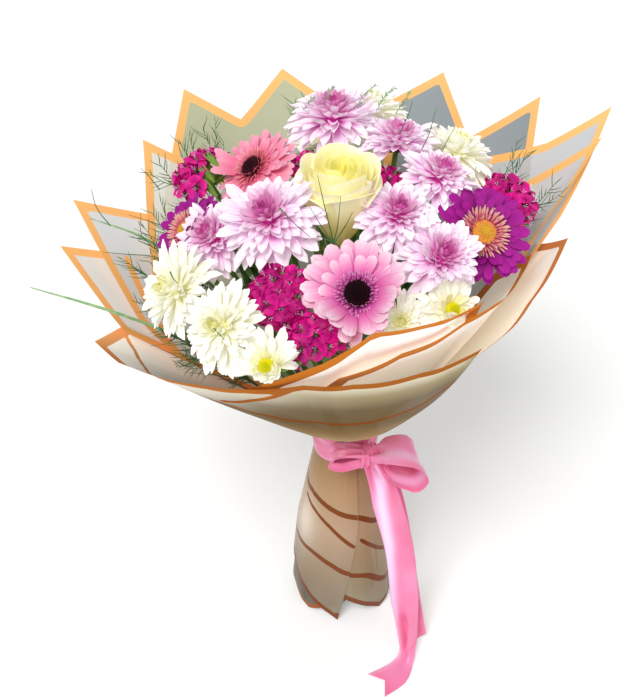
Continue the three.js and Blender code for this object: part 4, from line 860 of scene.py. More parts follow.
def add_floret(shape, green, pale, head, seat, out, rng):
    """A floret at its seat on the dome, facing out, with its calyx tube and three stamens."""
    side = unit(np.cross(out, [0.3, 0.5, 0.8]))
    axes = np.stack([side, np.cross(out, side), out])
    size = min(LARGEST_FLORET, head.radius * 0.42) * (0.86 + 0.24 * rng.random())
    local = seat + floret(size, rng) @ axes
    for _ in range(3):
        if trespass(head, local.reshape(1, -1, 3))[0] <= 0:
            break
        local = seat * 0.92 + (local - seat) * 0.85
    if beyond_film(head.place(local)).max() > -FINE_CLEARANCE:
        return
    shape.add(head.place(local), grid_faces(*FLORET_STEPS, FLORET_PETALS), **grid_values(FLORET_STEPS),
              tint=rng.random(), depth=0.9)
    if beyond_film(head.place(seat + out * size * 0.5)) > -SPRIG_CLEARANCE:
        return
    tube = head.place(np.array([seat * 0.42, seat * 0.8, seat - out * 1.2]))
    green.add(*tubes(tube, [1.2, 1.6, 2.1], 6), tint=0.5)
    for twist in (0.4, 2.6, 4.4):
        lean = unit(out + 0.35 * (math.cos(twist) * axes[0] + math.sin(twist) * axes[1]))
        stamen = head.place(np.array([seat - out, seat + lean * size * 0.25, seat + lean * size * 0.42]))
        pale.add(*tubes(stamen, [0.22, 0.2, 0.42], 4), tint=rng.random())


# Sides of the clusters where green calyces show in place of florets: the way they face, and how closely a
# floret has to face that way
BARE_SIDES = {"carmine_dianthus_left": (0.84, -0.54, -0.05)}
BARE_FROM = 0.42
# Turns between the tubes of a bundle and between the shoots under a cluster, in radians
CALYX_TURN = 1.047
SHOOT_TURN = 2.399


def calyx(green, head, seat, rng):
    """A bundle of green calyx tubes with pointed teeth, which lie along the cluster's bare side."""
    run = unit(UP * 0.75 - np.array(BARE_SIDES[head.name]))
    middle = head.place(seat * 0.96)
    out = unit(middle - head.centre)
    side = unit(np.cross(run, out))
    for turn in np.arange(6) * CALYX_TURN + rng.random():
        apart = math.cos(turn) * side + math.sin(turn) * out
        end = middle + run * (7.5 + 3.0 * rng.random()) + apart * 3.2
        path = smooth_path([middle - run * 9 + apart * 0.6, middle + apart * 1.7, end], 8)
        if ((path - TIE) @ head.planes.T).min() >= 0:
            green.add(*tubes(path, [0.7, 1.1, 1.4, 1.5, 1.45, 1.1, 0.6, 0.12], 6), tint=rng.random())


# Florets of a large and of a small cluster, the radius that parts the two, and the shoots below
LARGE_CLUSTER_FLORETS = 30
SMALL_CLUSTER_FLORETS = 15
LARGE_CLUSTER = 24
CLUSTER_SHOOTS = 26


def dianthus(head, rng):
    """A dome of florets, each on a green calyx tube, with green shoots below."""
    shape, green, pale, R = Shape(), Shape(), Shape(), head.radius
    count = LARGE_CLUSTER_FLORETS if R > LARGE_CLUSTER else SMALL_CLUSTER_FLORETS
    order = np.arange(count) + 0.5
    polar = np.arccos(1 - order / count * 1.25)
    turn = order * GOLDEN_TURN + rng.random() * PHASES
    for p, a in zip(polar, turn):
        way = np.array([math.sin(p) * math.cos(a), math.sin(p) * math.sin(a), math.cos(p)])
        seat = way * np.array([0.84, 0.84, 0.64]) * R * (0.93 + 0.12 * rng.random())
        out = unit(way * np.array([0.8, 0.8, 1.1]) + 0.3 * (rng.random(3) - 0.5))
        facing = unit(head.place(seat) - head.centre)
        if facing @ np.array(BARE_SIDES.get(head.name, (0, 0, 0))) > BARE_FROM:
            calyx(green, head, seat, rng)
        else:
            add_floret(shape, green, pale, head, seat, out, rng)
    for i in range(CLUSTER_SHOOTS):
        rim = np.array([math.cos(i * SHOOT_TURN), math.sin(i * SHOOT_TURN), 0.0])
        foot = rim * 0.3 * R - UP * (0.2 * R)
        end = rim * R * (0.55 + 0.25 * rng.random()) + UP * (R * (0.15 - 0.35 * rng.random()))
        if beyond_film(head.place(end)) > -SPRIG_CLEARANCE:
            continue
        path = head.place(smooth_path([foot, (foot + end) / 2 - UP * (0.08 * R), end], 6))
        green.add(*tubes(path, [1.3, 1.6, 1.5, 1.1, 0.6, 0.15], 5), tint=rng.random())
    core = [(0.001, -0.3), (0.3, -0.24), (0.42, 0.0), (0.34, 0.26), (0.001, 0.38)]
    core_shape(green, head, core, tint=0.1)
    add_bloom(head, shape)
    add_piece(f"{head.name}_calyces", green, CALYX_GREEN)
    add_piece(f"{head.name}_stamens", pale, STAMEN_PALE)


def bud(head, rng):
    shape = Shape()
    row = dict(count=12, base=0.42, height=-0.75, rise=62, tip=128, length=1.9, width=0.62, cup=0.5, ragged=5)
    core = [(0.001, -0.95), (0.45, -0.85), (0.85, -0.1), (0.6, 0.55), (0.001, 0.75)]
    core_shape(shape, head, core, depth=0.6, along=0.4, tint=0.5)
    add_petals(shape, head, row, rng, MUM_PROFILE, (9, 5), 0, 3)
    stops = [(0.0, "#7E9A2C"), (0.6, "#C0C034"), (1.0, "#E4DC58")]
    material = petal_finish("bud_finish", stops, "#B8B430", 0.2, "#98A02C")
    add_piece(head.name, shape, material, (head.name,))


def bracts(shape, head, rng):
    """The green cup under a head."""
    depth = CORE_DEPTH[head.kind]
    for number, row in enumerate(BRACT_ROWS):
        if head.kind == "rose":
            row = dict(ROSE_SEPALS, height=-depth + 0.04)
        add_petals(shape, head, row, rng, MUM_PROFILE, (6, 3), number, 2)
    cup = [(0.001, -depth - 0.02), (0.1, -depth), (0.2, -depth + 0.07), (0.001, -depth + 0.12)]
    core_shape(shape, head, cup, tint=0.2)


MAKERS = {"mum": mum, "open_mum": mum, "gerbera": gerbera, "rose": rose, "dianthus": dianthus, "bud": bud}


def build_heads():
    cups = Shape()
    for number, head in enumerate(HEADS):
        rng = np.random.default_rng(SEED + number)
        MAKERS[head.kind](head, rng)
        if head.kind in EYE_MEASURES:
            eye(head, *EYE_MEASURES[head.kind], rng)
        if head.kind not in ("dianthus", "bud"):
            bracts(cups, head, rng)
    add_piece("flower_cups", cups, CALYX_GREEN)


# Stems and leaves: turns of the stems from their heads, and the straight stretch under a head
STEM_TURN_AT_TIE = 40
STEM_TURN_AT_FOOT = 105
HEAD_APPROACH = 26
# The stem ends splay with the lean of their heads, up to this lean, from an inner ring outwards
FULL_SPLAY_LEAN = 30
INNER_FOOT_RADIUS = 10
FOOT_SPLAY = 25
STEM_SIDES = 9
MIDDLE_STEM_RADIUS = 3.2
THICKEST_STEM_END = 5
# Leaves under the heads: around, lean, reach
LEAVES = [(-95, 27, 222), (-45, 25, 222), (-4, 23, 222), (50, 20, 226), (108, 22, 222), (165, 21, 220)]
LEAF_LENGTH = 64.0
LEAF_WIDTH = 40.0
LEAF_STEPS = (40, 11)
LEAF_SEED = SEED + 50


def stem_path(head):
    top = head.centre - head.normal * (head.radius * CORE_DEPTH[head.kind])
    approach = top - head.normal * HEAD_APPROACH
    spread = min(head.lean / FULL_SPLAY_LEAN, 1)
    tie = ring_point(STEM_RING_RADIUS * math.sqrt(spread), head.around + STEM_TURN_AT_TIE, TIE[2])
    foot = ring_point(INNER_FOOT_RADIUS + FOOT_SPLAY * spread, head.around + STEM_TURN_AT_FOOT, 0.0)
    return rounded_path([foot, tie, approach, top])


def build_stems():
    shape = Shape()
    turn = np.arange(STEM_SIDES) / STEM_SIDES * 2 * np.pi
    circle = STEM_RADIUS * np.stack([np.cos(turn), np.sin(turn), 0 * turn], -1)
    cut = [[k, (k + 1) % STEM_SIDES, STEM_SIDES] for k in range(STEM_SIDES)]
    for head in HEADS:
        path = stem_path(head)
        radius = np.full(len(path), STEM_RADIUS)
        radius[-4:] = np.linspace(STEM_RADIUS, min(head.radius * 0.13, THICKEST_STEM_END), 4)
        shade = 0.3 + 0.5 * np.random.default_rng(int(head.radius * 7)).random()
        shape.add(*tubes(path, radius, STEM_SIDES), tint=shade)
        shape.add(np.vstack([path[0] + circle, path[:1]]), cut, tint=1.0)
    middle = [(0, 0, 0), (0, 0, 60), TIE]
    shape.add(*tubes(middle, MIDDLE_STEM_RADIUS, 12), tint=0.4)
    add_piece("flower_stems", shape, STEM_GREEN, ("stems_and_leaves",))


def leaf_blade(root, axis, side, face, length, width):
    """A lobed leaf: its outline swells at each lobe and its blade is folded along the middle."""
    t = np.linspace(0, 1, LEAF_STEPS[0])[:, None]
    u = np.linspace(-1, 1, LEAF_STEPS[1])
    lobes = 0.62 + 0.38 * np.abs(np.cos(t * 3.3 * math.pi))
    half = width / 2 * np.sin(math.pi * np.clip(t * 0.94 + 0.03, 0, 1)) ** 0.75 * lobes
    lift = 9 * t * t + (1.4 * np.sin(t * 21 + u * 3) * np.abs(u) + 0.14 * half * u**2 * 2)
    return root + axis * (t * length)[..., None] + side * (half * u)[..., None] + face * lift[..., None]


def build_leaves():
    rng = np.random.default_rng(LEAF_SEED)
    shape, stalks = Shape(), Shape()
    for around, lean, reach in LEAVES:
        axis = direction(lean + 5, around)
        side = unit(np.cross(UP, axis))
        face = np.cross(axis, side)
        root = TIE + direction(lean, around) * (reach - LEAF_LENGTH)
        for tilt in (-0.5, 0, 0.5):
            way = unit(axis + side * tilt)
            cross = unit(side - way * (side @ way))
            start = root - axis * (10 * abs(tilt))
            size = LEAF_LENGTH * (1 - 0.25 * abs(tilt))
            points = leaf_blade(start, way, cross, face, size, LEAF_WIDTH * size / LEAF_LENGTH)
            shape.add(points, grid_faces(*LEAF_STEPS), **grid_values(LEAF_STEPS), tint=rng.random())
        path = rounded_path([ring_point(8, around, TIE[2] + 6), root - axis * 18, root + axis * 8])
        stalks.add(*tubes(path, 1.4, 7), tint=0.6)
    add_piece("leaf_blades", shape, LEAF_GREEN)
    add_piece("leaf_stalks", stalks, STEM_GREEN)


# Fern sprays: name, around, lean, reach, number of tips, spread of the tips
SPRAYS = [
    ("fern_left_low", -64, 42, 238, 3, 9),
    ("fern_left", -93, 38, 268, 3, 8),
    ("fern_left_rear", -122, 33, 300, 3, 7),
    ("fern_rear", -174, 36, 300, 2, 6),
    ("fern_right", 108, 33, 300, 2, 5),
]
# Grass blades: name, around, the points of their free length
GRASSES = [
    ("grass_blade_left", -80, [(-68, -12, 307), (-130, -25, 369), (-200, -34, 416), (-272, -24, 436)]),
    ("grass_blade_upper_left", -104, [(-70, 12, 330), (-120, 20, 400), (-176, 22, 452), (-222, 18, 478)]),
]
GRASS_RING_RADIUS = 19.9
GRASS_HALF_WIDTH = 2.1
FERN_SEED = SEED + 70
SPRIG_SEED = SEED + 90


def fern(name, around, lean, reach, tips, spread, rng):
    """A spray: thin stems that fork, each with hair-fine curved needles on short side shoots."""
    shape = Shape()
    bend = ring_point(GREENERY_BEND_RADIUS, around, NECK_HIGH)
    fork = bend + direction(lean, around) * reach * 0.42
    low = ring_point(GREENERY_RING_RADIUS, around, NECK_LOW)
    stem = rounded_path([ring_point(GREENERY_FOOT_RADIUS, around, 0.0), low, bend, fork])
    shape.add(*tubes(stem, np.linspace(1.4, 1.0, len(stem)), 6), tint=0.2)
    for i in range(tips):
        offset = i / (tips - 1) - 0.5
        turn = around + offset * 2 * spread / math.sin(math.radians(lean))
        tip = bend + direction(lean + 3 * (rng.random() - 0.5), turn) * reach * 0.97
        middle = (fork + tip) / 2 + UP * (6 - 10 * rng.random())
        main = smooth_path([fork, middle, tip], 40)
        shape.add(*tubes(main, np.linspace(0.9, 0.25, 40), 5), tint=0.3)
        add_needles(shape, main, 44, 25.0, 0.42, rng)
        for at in range(8, 38, 5):
            way = unit(main[at] - main[at - 2])
            out = unit(np.cross(way, rng.random(3) - 0.5))
            shoot = smooth_path([main[at], main[at] + way * 12 + out * 8, main[at] + way * 27 + out * 13], 12)
            if beyond_film(shoot[-1:])[0] > -SPRIG_CLEARANCE:
                continue
            shape.add(*tubes(shoot, np.linspace(0.45, 0.15, 12), 4), tint=0.4)
            add_needles(shape, shoot, 9, 16.0, 0.36, rng)
    add_piece(name, shape, FERN_GREEN, (name,))


def add_needles(shape, path, count, length, radius, rng):
    """Fine curved needles along a path, shorter towards its end; those past the film are left out."""
    at = np.linspace(0.12, 1, count) * (len(path) - 1)
    index = np.minimum(at.astype(int), len(path) - 2)
    step = path[index + 1] - path[index]
    root = path[index] + step * (at - index)[:, None]
    way = unit(step)
    out = unit(np.cross(way, rng.random((count, 3)) - 0.5))
    size = length * (1 - 0.5 * at / len(path))[:, None] * (0.7 + 0.6 * rng.random((count, 1)))
    middle = root + unit(way * 1.1 + out) * size * 0.52
    tip = root + unit(way * 1.25 + out) * size
    paths = np.stack([root, middle, tip], 1)[beyond_film(tip) < -FINE_CLEARANCE]
    if len(paths):
        shape.add(*tubes(paths, np.array([radius, radius, radius * 0.3]), 3),
                  tint=rng.random(len(paths))[:, None, None])


def grass(name, around, points):
    """A long blade with a folded middle, tapering to its tip."""
    foot = ring_point(GREENERY_FOOT_RADIUS, around, 0.0)
    neck = [ring_point(GRASS_RING_RADIUS, around, height) for height in (NECK_LOW, NECK_HIGH - 4)]
    stem = rounded_path([foot, *neck, points[0]])
    path = np.vstack([stem[:-1], smooth_path(points, 40)])
    tangent = unit(np.gradient(path, axis=0))
    side = unit(np.cross(tangent, UP))
    face = np.cross(tangent, side)
    half = GRASS_HALF_WIDTH * np.minimum(1, (1 - np.linspace(0, 1, len(path))) * 4 + 0.3)
    edge = side * half[:, None]
    grid = np.stack([path - edge, path + face * 0.5, path + edge], 1)
    shape = Shape().add(grid, grid_faces(len(path), 3), tint=0.5)
    add_piece(name, shape, GRASS_GREEN, (name,))


# Fine stray wisps that lean over the blooms: listed points
WISPS = [
    [(-15, -84, 528), (-24, -84, 543), (-33, -84, 561)],
    [(-15, -84, 528), (-22, -84, 562), (-27, -82, 587)],
    [(-15, -84, 528), (-12, -84, 544), (-10, -84, 570)],
    [(-14, -84, 528), (-6, -84, 544), (-1, -84, 556)],
    [(-15, -84, 528), (-27, -84, 534), (-38, -84, 530)],
    [(-55, -90, 564), (-45, -90, 551), (-33, -90, 538)],
    [(98, -40, 417), (82, -40, 437), (65, -40, 467)],
    [(39, -60, 491), (52, -60, 483), (62, -60, 471)],
    [(39, 20, 560), (45, 20, 576), (48, 20, 590)],
    [(56, 20, 540), (63, 20, 560), (67, 20, 582)],
    [(74, 30, 530), (79, 30, 546), (85, 30, 560)],
    [(142, 0, 487), (150, 0, 493), (156, 0, 501)],
    [(127, -10, 438), (136, -10, 457), (148, -10, 476)],
    [(-199, -10, 490), (-208, -10, 508), (-210, -10, 526)],
    [(-173, 10, 444), (-199, 10, 446), (-214, 10, 448)],
    [(-134, -130, 536), (-132, -130, 529), (-129, -130, 525)],
    [(-103, -150, 499), (-98, -150, 491), (-91, -150, 481)],
    [(-163, 40, 492), (-170, 40, 504), (-177, 40, 514)],
    [(-137, 50, 504), (-143, 50, 521), (-145, 50, 535)],
    [(-150, 20, 464), (-171, 20, 473), (-189, 20, 480)],
    [(-153, 10, 454), (-167, 10, 463), (-184, 10, 473)],
    [(-126, -60, 410), (-148, -60, 405), (-169, -60, 401)],
    [(-103, -80, 385), (-122, -80, 387), (-139, -80, 390)],
    [(-124, -70, 386), (-135, -70, 392), (-143, -70, 403)],
]
# Small leafy tips of greenery that show behind the top blooms: listed points
TOP_SPRIGS = [
    [(-24, 64, 552), (-19, 62, 568), (-15, 60, 580)],
    [(6, 66, 552), (10, 62, 570), (20, 58, 582)],
    [(22, 62, 556), (28, 58, 572), (36, 54, 582)],
    [(38, 58, 556), (44, 54, 570), (48, 50, 580)],
    [(132, 20, 476), (144, 10, 488), (152, 0, 496)],
    [(-40, 66, 548), (-36, 64, 560), (-30, 62, 570)],
]


def build_greenery():
    for number, spray in enumerate(SPRAYS):
        fern(*spray, np.random.default_rng(FERN_SEED + number))
    for row in GRASSES:
        grass(*row)
    wisps, sprigs = Shape(), Shape()
    for points in WISPS:
        wisps.add(*tubes(smooth_path(points, 24), np.linspace(0.55, 0.22, 24), 4), tint=0.1)
    rng = np.random.default_rng(SPRIG_SEED)
    for points in TOP_SPRIGS:
        path = smooth_path(points, 20)
        sprigs.add(*tubes(path, np.linspace(0.45, 0.2, 20), 4), tint=0.4)
        add_needles(sprigs, path, 30, 6.0, 0.32, rng)
    add_piece("grass_wisps", wisps, FERN_GREEN)
    add_piece("top_sprigs", sprigs, SPRIG_GREEN)


# The film wrap: ripples of the cone and pleats at the neck, as (count round the axis, phase, height)
FILM_RIPPLES = ((7, 0.5, 1.4), (13, 2.0, 0.7), (23, 4.0, 0.3))
NECK_PLEATS = ((26, 0.0, 0.28), (41, 1.0, 0.18))
RIPPLE_LENGTH = 300


def waves(around, table):
    return sum(size * np.sin(count * np.radians(around) + phase) for count, phase, size in table)


def ripple(around, share):
    """A common wave of every sheet, so that the layers keep their order; share is 1 at the rim."""
    return waves(around, FILM_RIPPLES) * share**1.5 + waves(around, NECK_PLEATS) * np.exp(-6 * share)


# The front sheets belly out low down and stand up towards their rims: mm outwards at each slant length
BELLY_SLANTS = [0, 20, 45, 80, 120, 160, 200, 230, 262, 310]
BELLIES = {
    "film_front_outer": [0, 6, 9.5, 10, 8, 3, -5, -12, -16, -18],
    "film_front_right": [0, 3.5, 5.5, 6, 4.5, 1, -4, -9, -12, -12],
    "film_front_inner": [0, 2, 3.5, 3.5, 3, 0.5, -3, -6.5, -8, -3],
}
BELLY_CURVES = {
    name: smooth_path([(slant, out, 0.0) for slant, out in zip(BELLY_SLANTS, values)], 80)
    for name, values in BELLIES.items()
}
# How much of its belly a sheet has: angles round the axis, and the share at each
BELLY_SHARES = ([-90, -70, -40, -20, 0, 30, 50, 80], [0, 0.3, 0.7, 0.9, 1, 1, 0.9, 0.3])


def belly(name, around, along):
    if name not in BELLIES:
        return 0 * along
    curve = BELLY_CURVES[name]
    return np.interp(along, curve[:, 0], curve[:, 1]) * np.interp(around, *BELLY_SHARES)


# Paler patches of a sheet, as where it folds over itself, which also get a painted glow where they lie in
# shade: around, height, their spans, strength
PALE_GLOW_PATCHES = {
    "film_front_outer": [
        (-86, 420, 17, 90, 1.0), (-52, 405, 18, 30, 0.6), (-30, 425, 14, 18, 0.35), (-62, 128, 20, 34, 0.4),
    ],
}


def pale_glow(name, points):
    around = bearing(points)
    total = np.zeros(around.shape)
    for middle, height, wide, high, strength in PALE_GLOW_PATCHES.get(name, []):
        total += strength * np.exp(-((around - middle) / wide) ** 2 - ((points[..., 2] - height) / high) ** 2)
    return np.clip(total, 0, 1)


def distance_to_line(points, line):
    """The shortest distance from each 2-D point to a polyline."""
    start, step = line[:-1], np.diff(line, axis=0)
    rel = points[:, None] - start
    share = np.clip((rel * step).sum(-1) / np.maximum((step**2).sum(-1), 1e-9), 0, 1)
    return np.linalg.norm(rel - share[..., None] * step, axis=-1).min(1)


# Printed bands away from the edges: (half width, places); a place is (around, slant length) on the cone and
# (around, height) on the sleeve
CONE_BANDS = {
    "film_front_outer": [
        (2.4, [(-87, 212), (-82, 204), (-76.6, 198), (-67, 199), (-58, 208), (-50, 218)]),
        (3.6, [(-66, 192), (-52, 172), (-38, 154), (-20, 142), (-2, 138), (14, 141), (30, 152), (42, 170)]),
        (3.0, [(-44, 176), (-34, 190), (-24, 206), (-16, 222)]),
    ],
    "film_left": [(3.6, [(-104, 236), (-96, 204), (-88, 178), (-80, 160)])],
    "film_left_inner": [(3.6, [(-140, 150), (-122, 190), (-104, 180)])],
    "film_rear": [(4.0, [(-188, 190), (-160, 205), (-130, 196)])],
    "film_rear_right": [(4.0, [(122, 205), (142, 236), (170, 262)])],
    "film_right": [(4.0, [(92, 180), (110, 232), (138, 236)])],
}
SLEEVE_BANDS = {
    "film_front_outer": [
        (3.4, [(-96, 186), (-77, 174), (-56, 171), (-35, 166), (-8, 158), (22, 150)]),
        (2.4, [(-69, 160), (-30, 144), (-9, 130), (12, 113)]),
        (3.4, [(-96, 98), (-74, 93), (-41, 94), (-20, 87), (1, 76), (18, 70)]),
    ],
    "film_right_outer": [
        (3.4, [(-12, 158), (21, 149), (51, 134), (102, 128)]),
        (2.4, [(22, 119), (46, 96), (60, 85)]),
        (3.4, [(-12, 76), (15, 68), (30, 62), (59, 40), (102, 52)]),
    ],
    "film_left": [(3.4, [(-122, 120), (-90, 96), (-42, 70), (0, 74)])],
    "film_rear": [
        (3.4, [(-195, 150), (-160, 120), (-118, 132)]),
        (3.4, [(-195, 84), (-150, 60), (-118, 70)]),
    ],
    "film_rear_right": [
        (3.4, [(118, 140), (150, 112), (192, 120)]),
        (3.4, [(118, 78), (160, 54), (192, 70)]),
    ],
}
# Sides that are folded under, so that their print doesn't show, by sheet and end
PLAIN_SIDES = {("film_front_outer", -1), ("film_right_outer", 0), ("film_front_inner", -1)}
# Where a sheet's printed foot ends: past it the cut edge is plain
PLAIN_FOOT_FROM = {"film_front_outer": -5.0}
# Slant lengths up to this belong to a sheet's low corner, which has no print along it
LOW_SLANT = 12
# How far the middle of the sleeve stands out from the neck, for measures on the flat sleeve
SLEEVE_SWELL = 14
# How far the sleeve starts under the top of the neck
SLEEVE_START = 3
CONE_ROWS = 72
SLEEVE_ROWS = 60


def film_columns(rim, foot):
    corners = [corner[0] for corner in rim] + [corner[0] for corner in foot or []]
    steps = np.arange(rim[0][0], rim[-1][0], 1.0)
    return np.unique(np.concatenate([corners, steps]))


def film_sheet(name, layer, rim, foot, material):
    around = film_columns(rim, foot)
    slant, flare = rim_slant(rim, around), np.radians(flare_at(rim, around))
    neck = FILM_NECK_RADIUS + FILM_LAYER_STEP * layer + FILM_THICKNESS / 2
    along = slant * np.linspace(1, 0, CONE_ROWS)[:, None]
    out = belly(name, around, along)
    radius = neck + along * np.sin(flare) + ripple(around, along / RIPPLE_LENGTH) + out * np.cos(flare)
    cone = ring_point(radius, around, NECK_HIGH + along * np.cos(flare) - out * np.sin(flare))
    end = np.interp(around, *zip(*foot)) if foot else np.full(len(around), HIDDEN_FILM_END)
    drop = np.linspace(0, 1, SLEEVE_ROWS if foot else 3)[:, None]
    height = (NECK_HIGH - SLEEVE_START) + (end - NECK_HIGH + SLEEVE_START) * drop
    low_share = np.clip((NECK_LOW - height) / RIPPLE_LENGTH, 0, 1)
    tube_radius = neck + np.interp(height, *SLEEVE_PROFILE) + ripple(around, low_share) * 0.6
    sleeve = ring_point(tube_radius, around, height)
    edge = np.vstack([cone_edges(name, around, slant, flare, along, neck),
                      sleeve_edges(name, around, height, end, neck, foot)])
    grid = np.concatenate([cone, sleeve])
    shape = Shape().add(grid, grid_faces(*grid.shape[:2]), edge=edge, pale=pale_glow(name, grid))
    add_piece(name, shape, material, (name,))


def smooth_band(band):
    places = [(around, place, 0.0) for around, place in band]
    return smooth_path(places, 8 * len(places))[:, :2].T


def flat_place(slants, flare, turn, neck):
    """Where points of the cone lie on the flat sheet, turn being their angle there."""
    rho = slants + neck / np.sin(flare)
    return np.stack([rho * np.cos(turn), rho * np.sin(turn)], -1)


def cone_edges(name, around, slant, flare, along, neck):
    """Distance (mm) to the sheet's rim, sides and bands, measured on the flat sheet."""
    steps = np.diff(np.radians(around)) * np.sin((flare[1:] + flare[:-1]) / 2)
    turn = np.concatenate([[0], np.cumsum(steps)])
    points = flat_place(along, flare, turn, neck).reshape(-1, 2)
    rim = flat_place(slant, flare, turn, neck)
    nearest = distance_to_line(points, rim[slant > LOW_SLANT])
    for column in (0, -1):
        if slant[column] > LOW_SLANT and (name, column) not in PLAIN_SIDES:
            side = flat_place(np.linspace(0, slant[column], 20), flare[column], turn[column], neck)
            nearest = np.minimum(nearest, distance_to_line(points, side))
    nearest = nearest * BAND_WIDTH / RIM_BANDS.get(name, BAND_WIDTH)
    for half, band in CONE_BANDS.get(name, []):
        angles, slants = smooth_band(band)
        line = flat_place(slants, np.interp(angles, around, flare), np.interp(angles, around, turn), neck)
        nearest = np.minimum(nearest, distance_to_line(points, line) + BAND_WIDTH - half)
    return nearest.reshape(along.shape)


def sleeve_edges(name, around, height, end, neck, foot):
    """Distance (mm) to the sheet's foot and bands, measured on the flat sheet."""
    radius = neck + SLEEVE_SWELL
    across = np.radians(around) * radius
    points = np.stack(np.broadcast_arrays(across, height), -1).reshape(-1, 2)
    nearest = np.full(len(points), FAR)
    if foot:
        printed = around <= PLAIN_FOOT_FROM.get(name, math.inf)
        line = np.stack([across, end], -1)[printed]
        nearest = distance_to_line(points, line) + BAND_WIDTH - FOOT_BAND_WIDTH
    for half, band in SLEEVE_BANDS.get(name, []):
        angles, heights = smooth_band(band)
        line = np.stack([np.radians(angles) * radius, heights], -1)
        nearest = np.minimum(nearest, distance_to_line(points, line) + BAND_WIDTH - half)
    return nearest.reshape(height.shape)


# Tones by height in metres: of the sleeves, and of the printed bands, with painted shade in them
# The sleeves darken low down, partly from the stems seen through and partly as painted shade
TAN = [(0.0, "#7E7350"), (0.06, "#94825E"), (0.14, "#B89A78"), (0.24, "#B08A60")]
WHITE_TAN = [(0.02, "#7C6C54"), (0.07, "#9A866E"), (0.13, "#B89C82"), (0.18, "#B8946E"), (0.24, "#9C7848")]
MOSS = [(0.0, "#3E3C26"), (0.06, "#4E4A30"), (0.14, "#94846A"), (0.24, "#987A56")]
# The copper print darkens low down and below the rim as painted shade
COPPER = [
    (0.0, "#7A3E18"), (0.24, "#80431A"), (0.31, "#683A1A"), (0.36, "#86481C"), (0.42, "#A05A20"),
    (0.47, "#BE7028"),
]
# The pale band is a lighter copy of the same print for the sheets lit from behind: painted light
PALE_BAND = [(0.0, "#9A5228"), (0.24, "#B06028"), (0.34, "#D88A48"), (0.44, "#F2B266"), (0.56, "#FBCB7E")]
# Each sheet's tones of cone, sleeve and bands, how much light the film stops, and the strength of a painted
# glow that stands in for light shining through
# The tones hold painted shade: sheets that lie in shade, and the front sheet below its rim, are darker
FILM_COLOURS = {
    "film_front_inner": ([(0.3, "#E6DACA"), (0.42, "#F6F0E2"), (0.52, "#F4EAEC")], TAN, COPPER, 0.93, 0.36),
    "film_left_inner": ([(0.3, "#C9C6B4"), (0.5, "#D9DACB")], TAN, PALE_BAND, 0.88, 0.2),
    "film_front_right": ([(0.3, "#D0BA94"), (0.42, "#F0E8D8"), (0.5, "#F4ECE4")], TAN, COPPER, 0.88, 0.3),
    "film_rear": ([(0.3, "#8E8F74"), (0.45, "#A6AA84"), (0.55, "#B8BC94")], MOSS, PALE_BAND, 0.94, 0.12),
    "film_right_inner": ([(0.3, "#B8AEA4"), (0.5, "#CFCDCE")], TAN, PALE_BAND, 0.88, 0.14),
    "film_left": ([(0.3, "#B4AE9C"), (0.42, "#C9CACA"), (0.5, "#D8D9D6")], MOSS, PALE_BAND, 0.88, 0.2),
    "film_right": ([(0.3, "#A8A29A"), (0.5, "#BFC2C4")], TAN, PALE_BAND, 0.88, 0.14),
    "film_left_low": ([(0.3, "#C0B8A8"), (0.45, "#D6D4D0")], TAN, PALE_BAND, 0.85, 0.22),
    "film_rear_right": ([(0.3, "#6E7476"), (0.45, "#828C90"), (0.55, "#8E989C")], TAN, PALE_BAND, 0.94, 0.04),
    "film_right_outer": ([(0.3, "#BCA37C"), (0.38, "#D8CCB4"), (0.46, "#EAE4D6")], TAN, COPPER, 0.92, 0.25),
    "film_front_outer": ([(0.27, "#CCB082"), (0.31, "#9E8054"), (0.36, "#735D3F"), (0.4, "#766548"),
                          (0.425, "#A89872"), (0.44, "#E2D8BC")], WHITE_TAN, COPPER, 0.94, 0.0),
}
# Width of the printed band along the rim and sides where it isn't the usual one, in mm
RIM_BANDS = {"film_front_inner": 17.0, "film_front_right": 12.0, "film_front_outer": 10.0}


def build_film():
    for name, layer, rim, foot in SHEETS:
        material = film_finish(f"{name}_finish", *FILM_COLOURS[name])
        film_sheet(name, layer, rim, foot, material)


# Ribbon: the stations of each run are (x, y, z, half width, way of its width), as in the part
KNOT = np.array([19.6, -36.8, 241.0])
KNOT_TURN = 28
LOOP_RIGHT = [
    (22, -40, 244, 8, 0.1, -1, 0), (36, -42, 253, 15, 0.1, -1, -0.15), (54, -44, 255, 18, 0.2, -1, -0.2),
    (67, -46, 247, 18.5, 0.3, -1, -0.15), (72, -46, 232, 18.5, 0.35, -1, 0), (65, -45, 218, 18, 0.25, -1, 0),
    (47, -43, 219, 15, 0.15, -1, 0), (30, -41, 230, 9, 0.1, -1, 0.1), (22, -40, 238, 6, 0.1, -1, 0.2),
]
LOOP_LEFT = [
    (18, -41, 246, 6, 0, -1, 0.3), (4, -44, 253, 11, 0, -1, 0.2), (-10, -44, 251, 13, -0.1, -1, 0.1),
    (-13, -43.5, 243, 13, -0.1, -1, 0.1), (-4, -44, 238, 11, 0, -1, 0.2), (16, -42, 239, 6, 0, -1, 0.3),
]
TAIL_FRONT = [
    (24, -43, 238, 8, 1, 0.1, 0.2), (33, -50, 217, 12, 1, 0.25, 0.2), (40, -57, 194, 14.5, 1, 0.3, 0.15),
    (54, -68, 138, 14.5, 1, 0.25, 0.15), (62, -80, 72, 14.5, 1, 0.1, 0.15), (66, -90, 34, 10, 1, -0.3, 0.1),
    (67, -98, 12, 7, 0.9, -0.6, 0.1), (64, -109, 2.5, 9, 0.8, -0.7, 0), (53, -125, 1.2, 14, 0.55, -0.8, 0),
    (33, -138, 1.2, 15.5, 0.1, -1, 0),
]
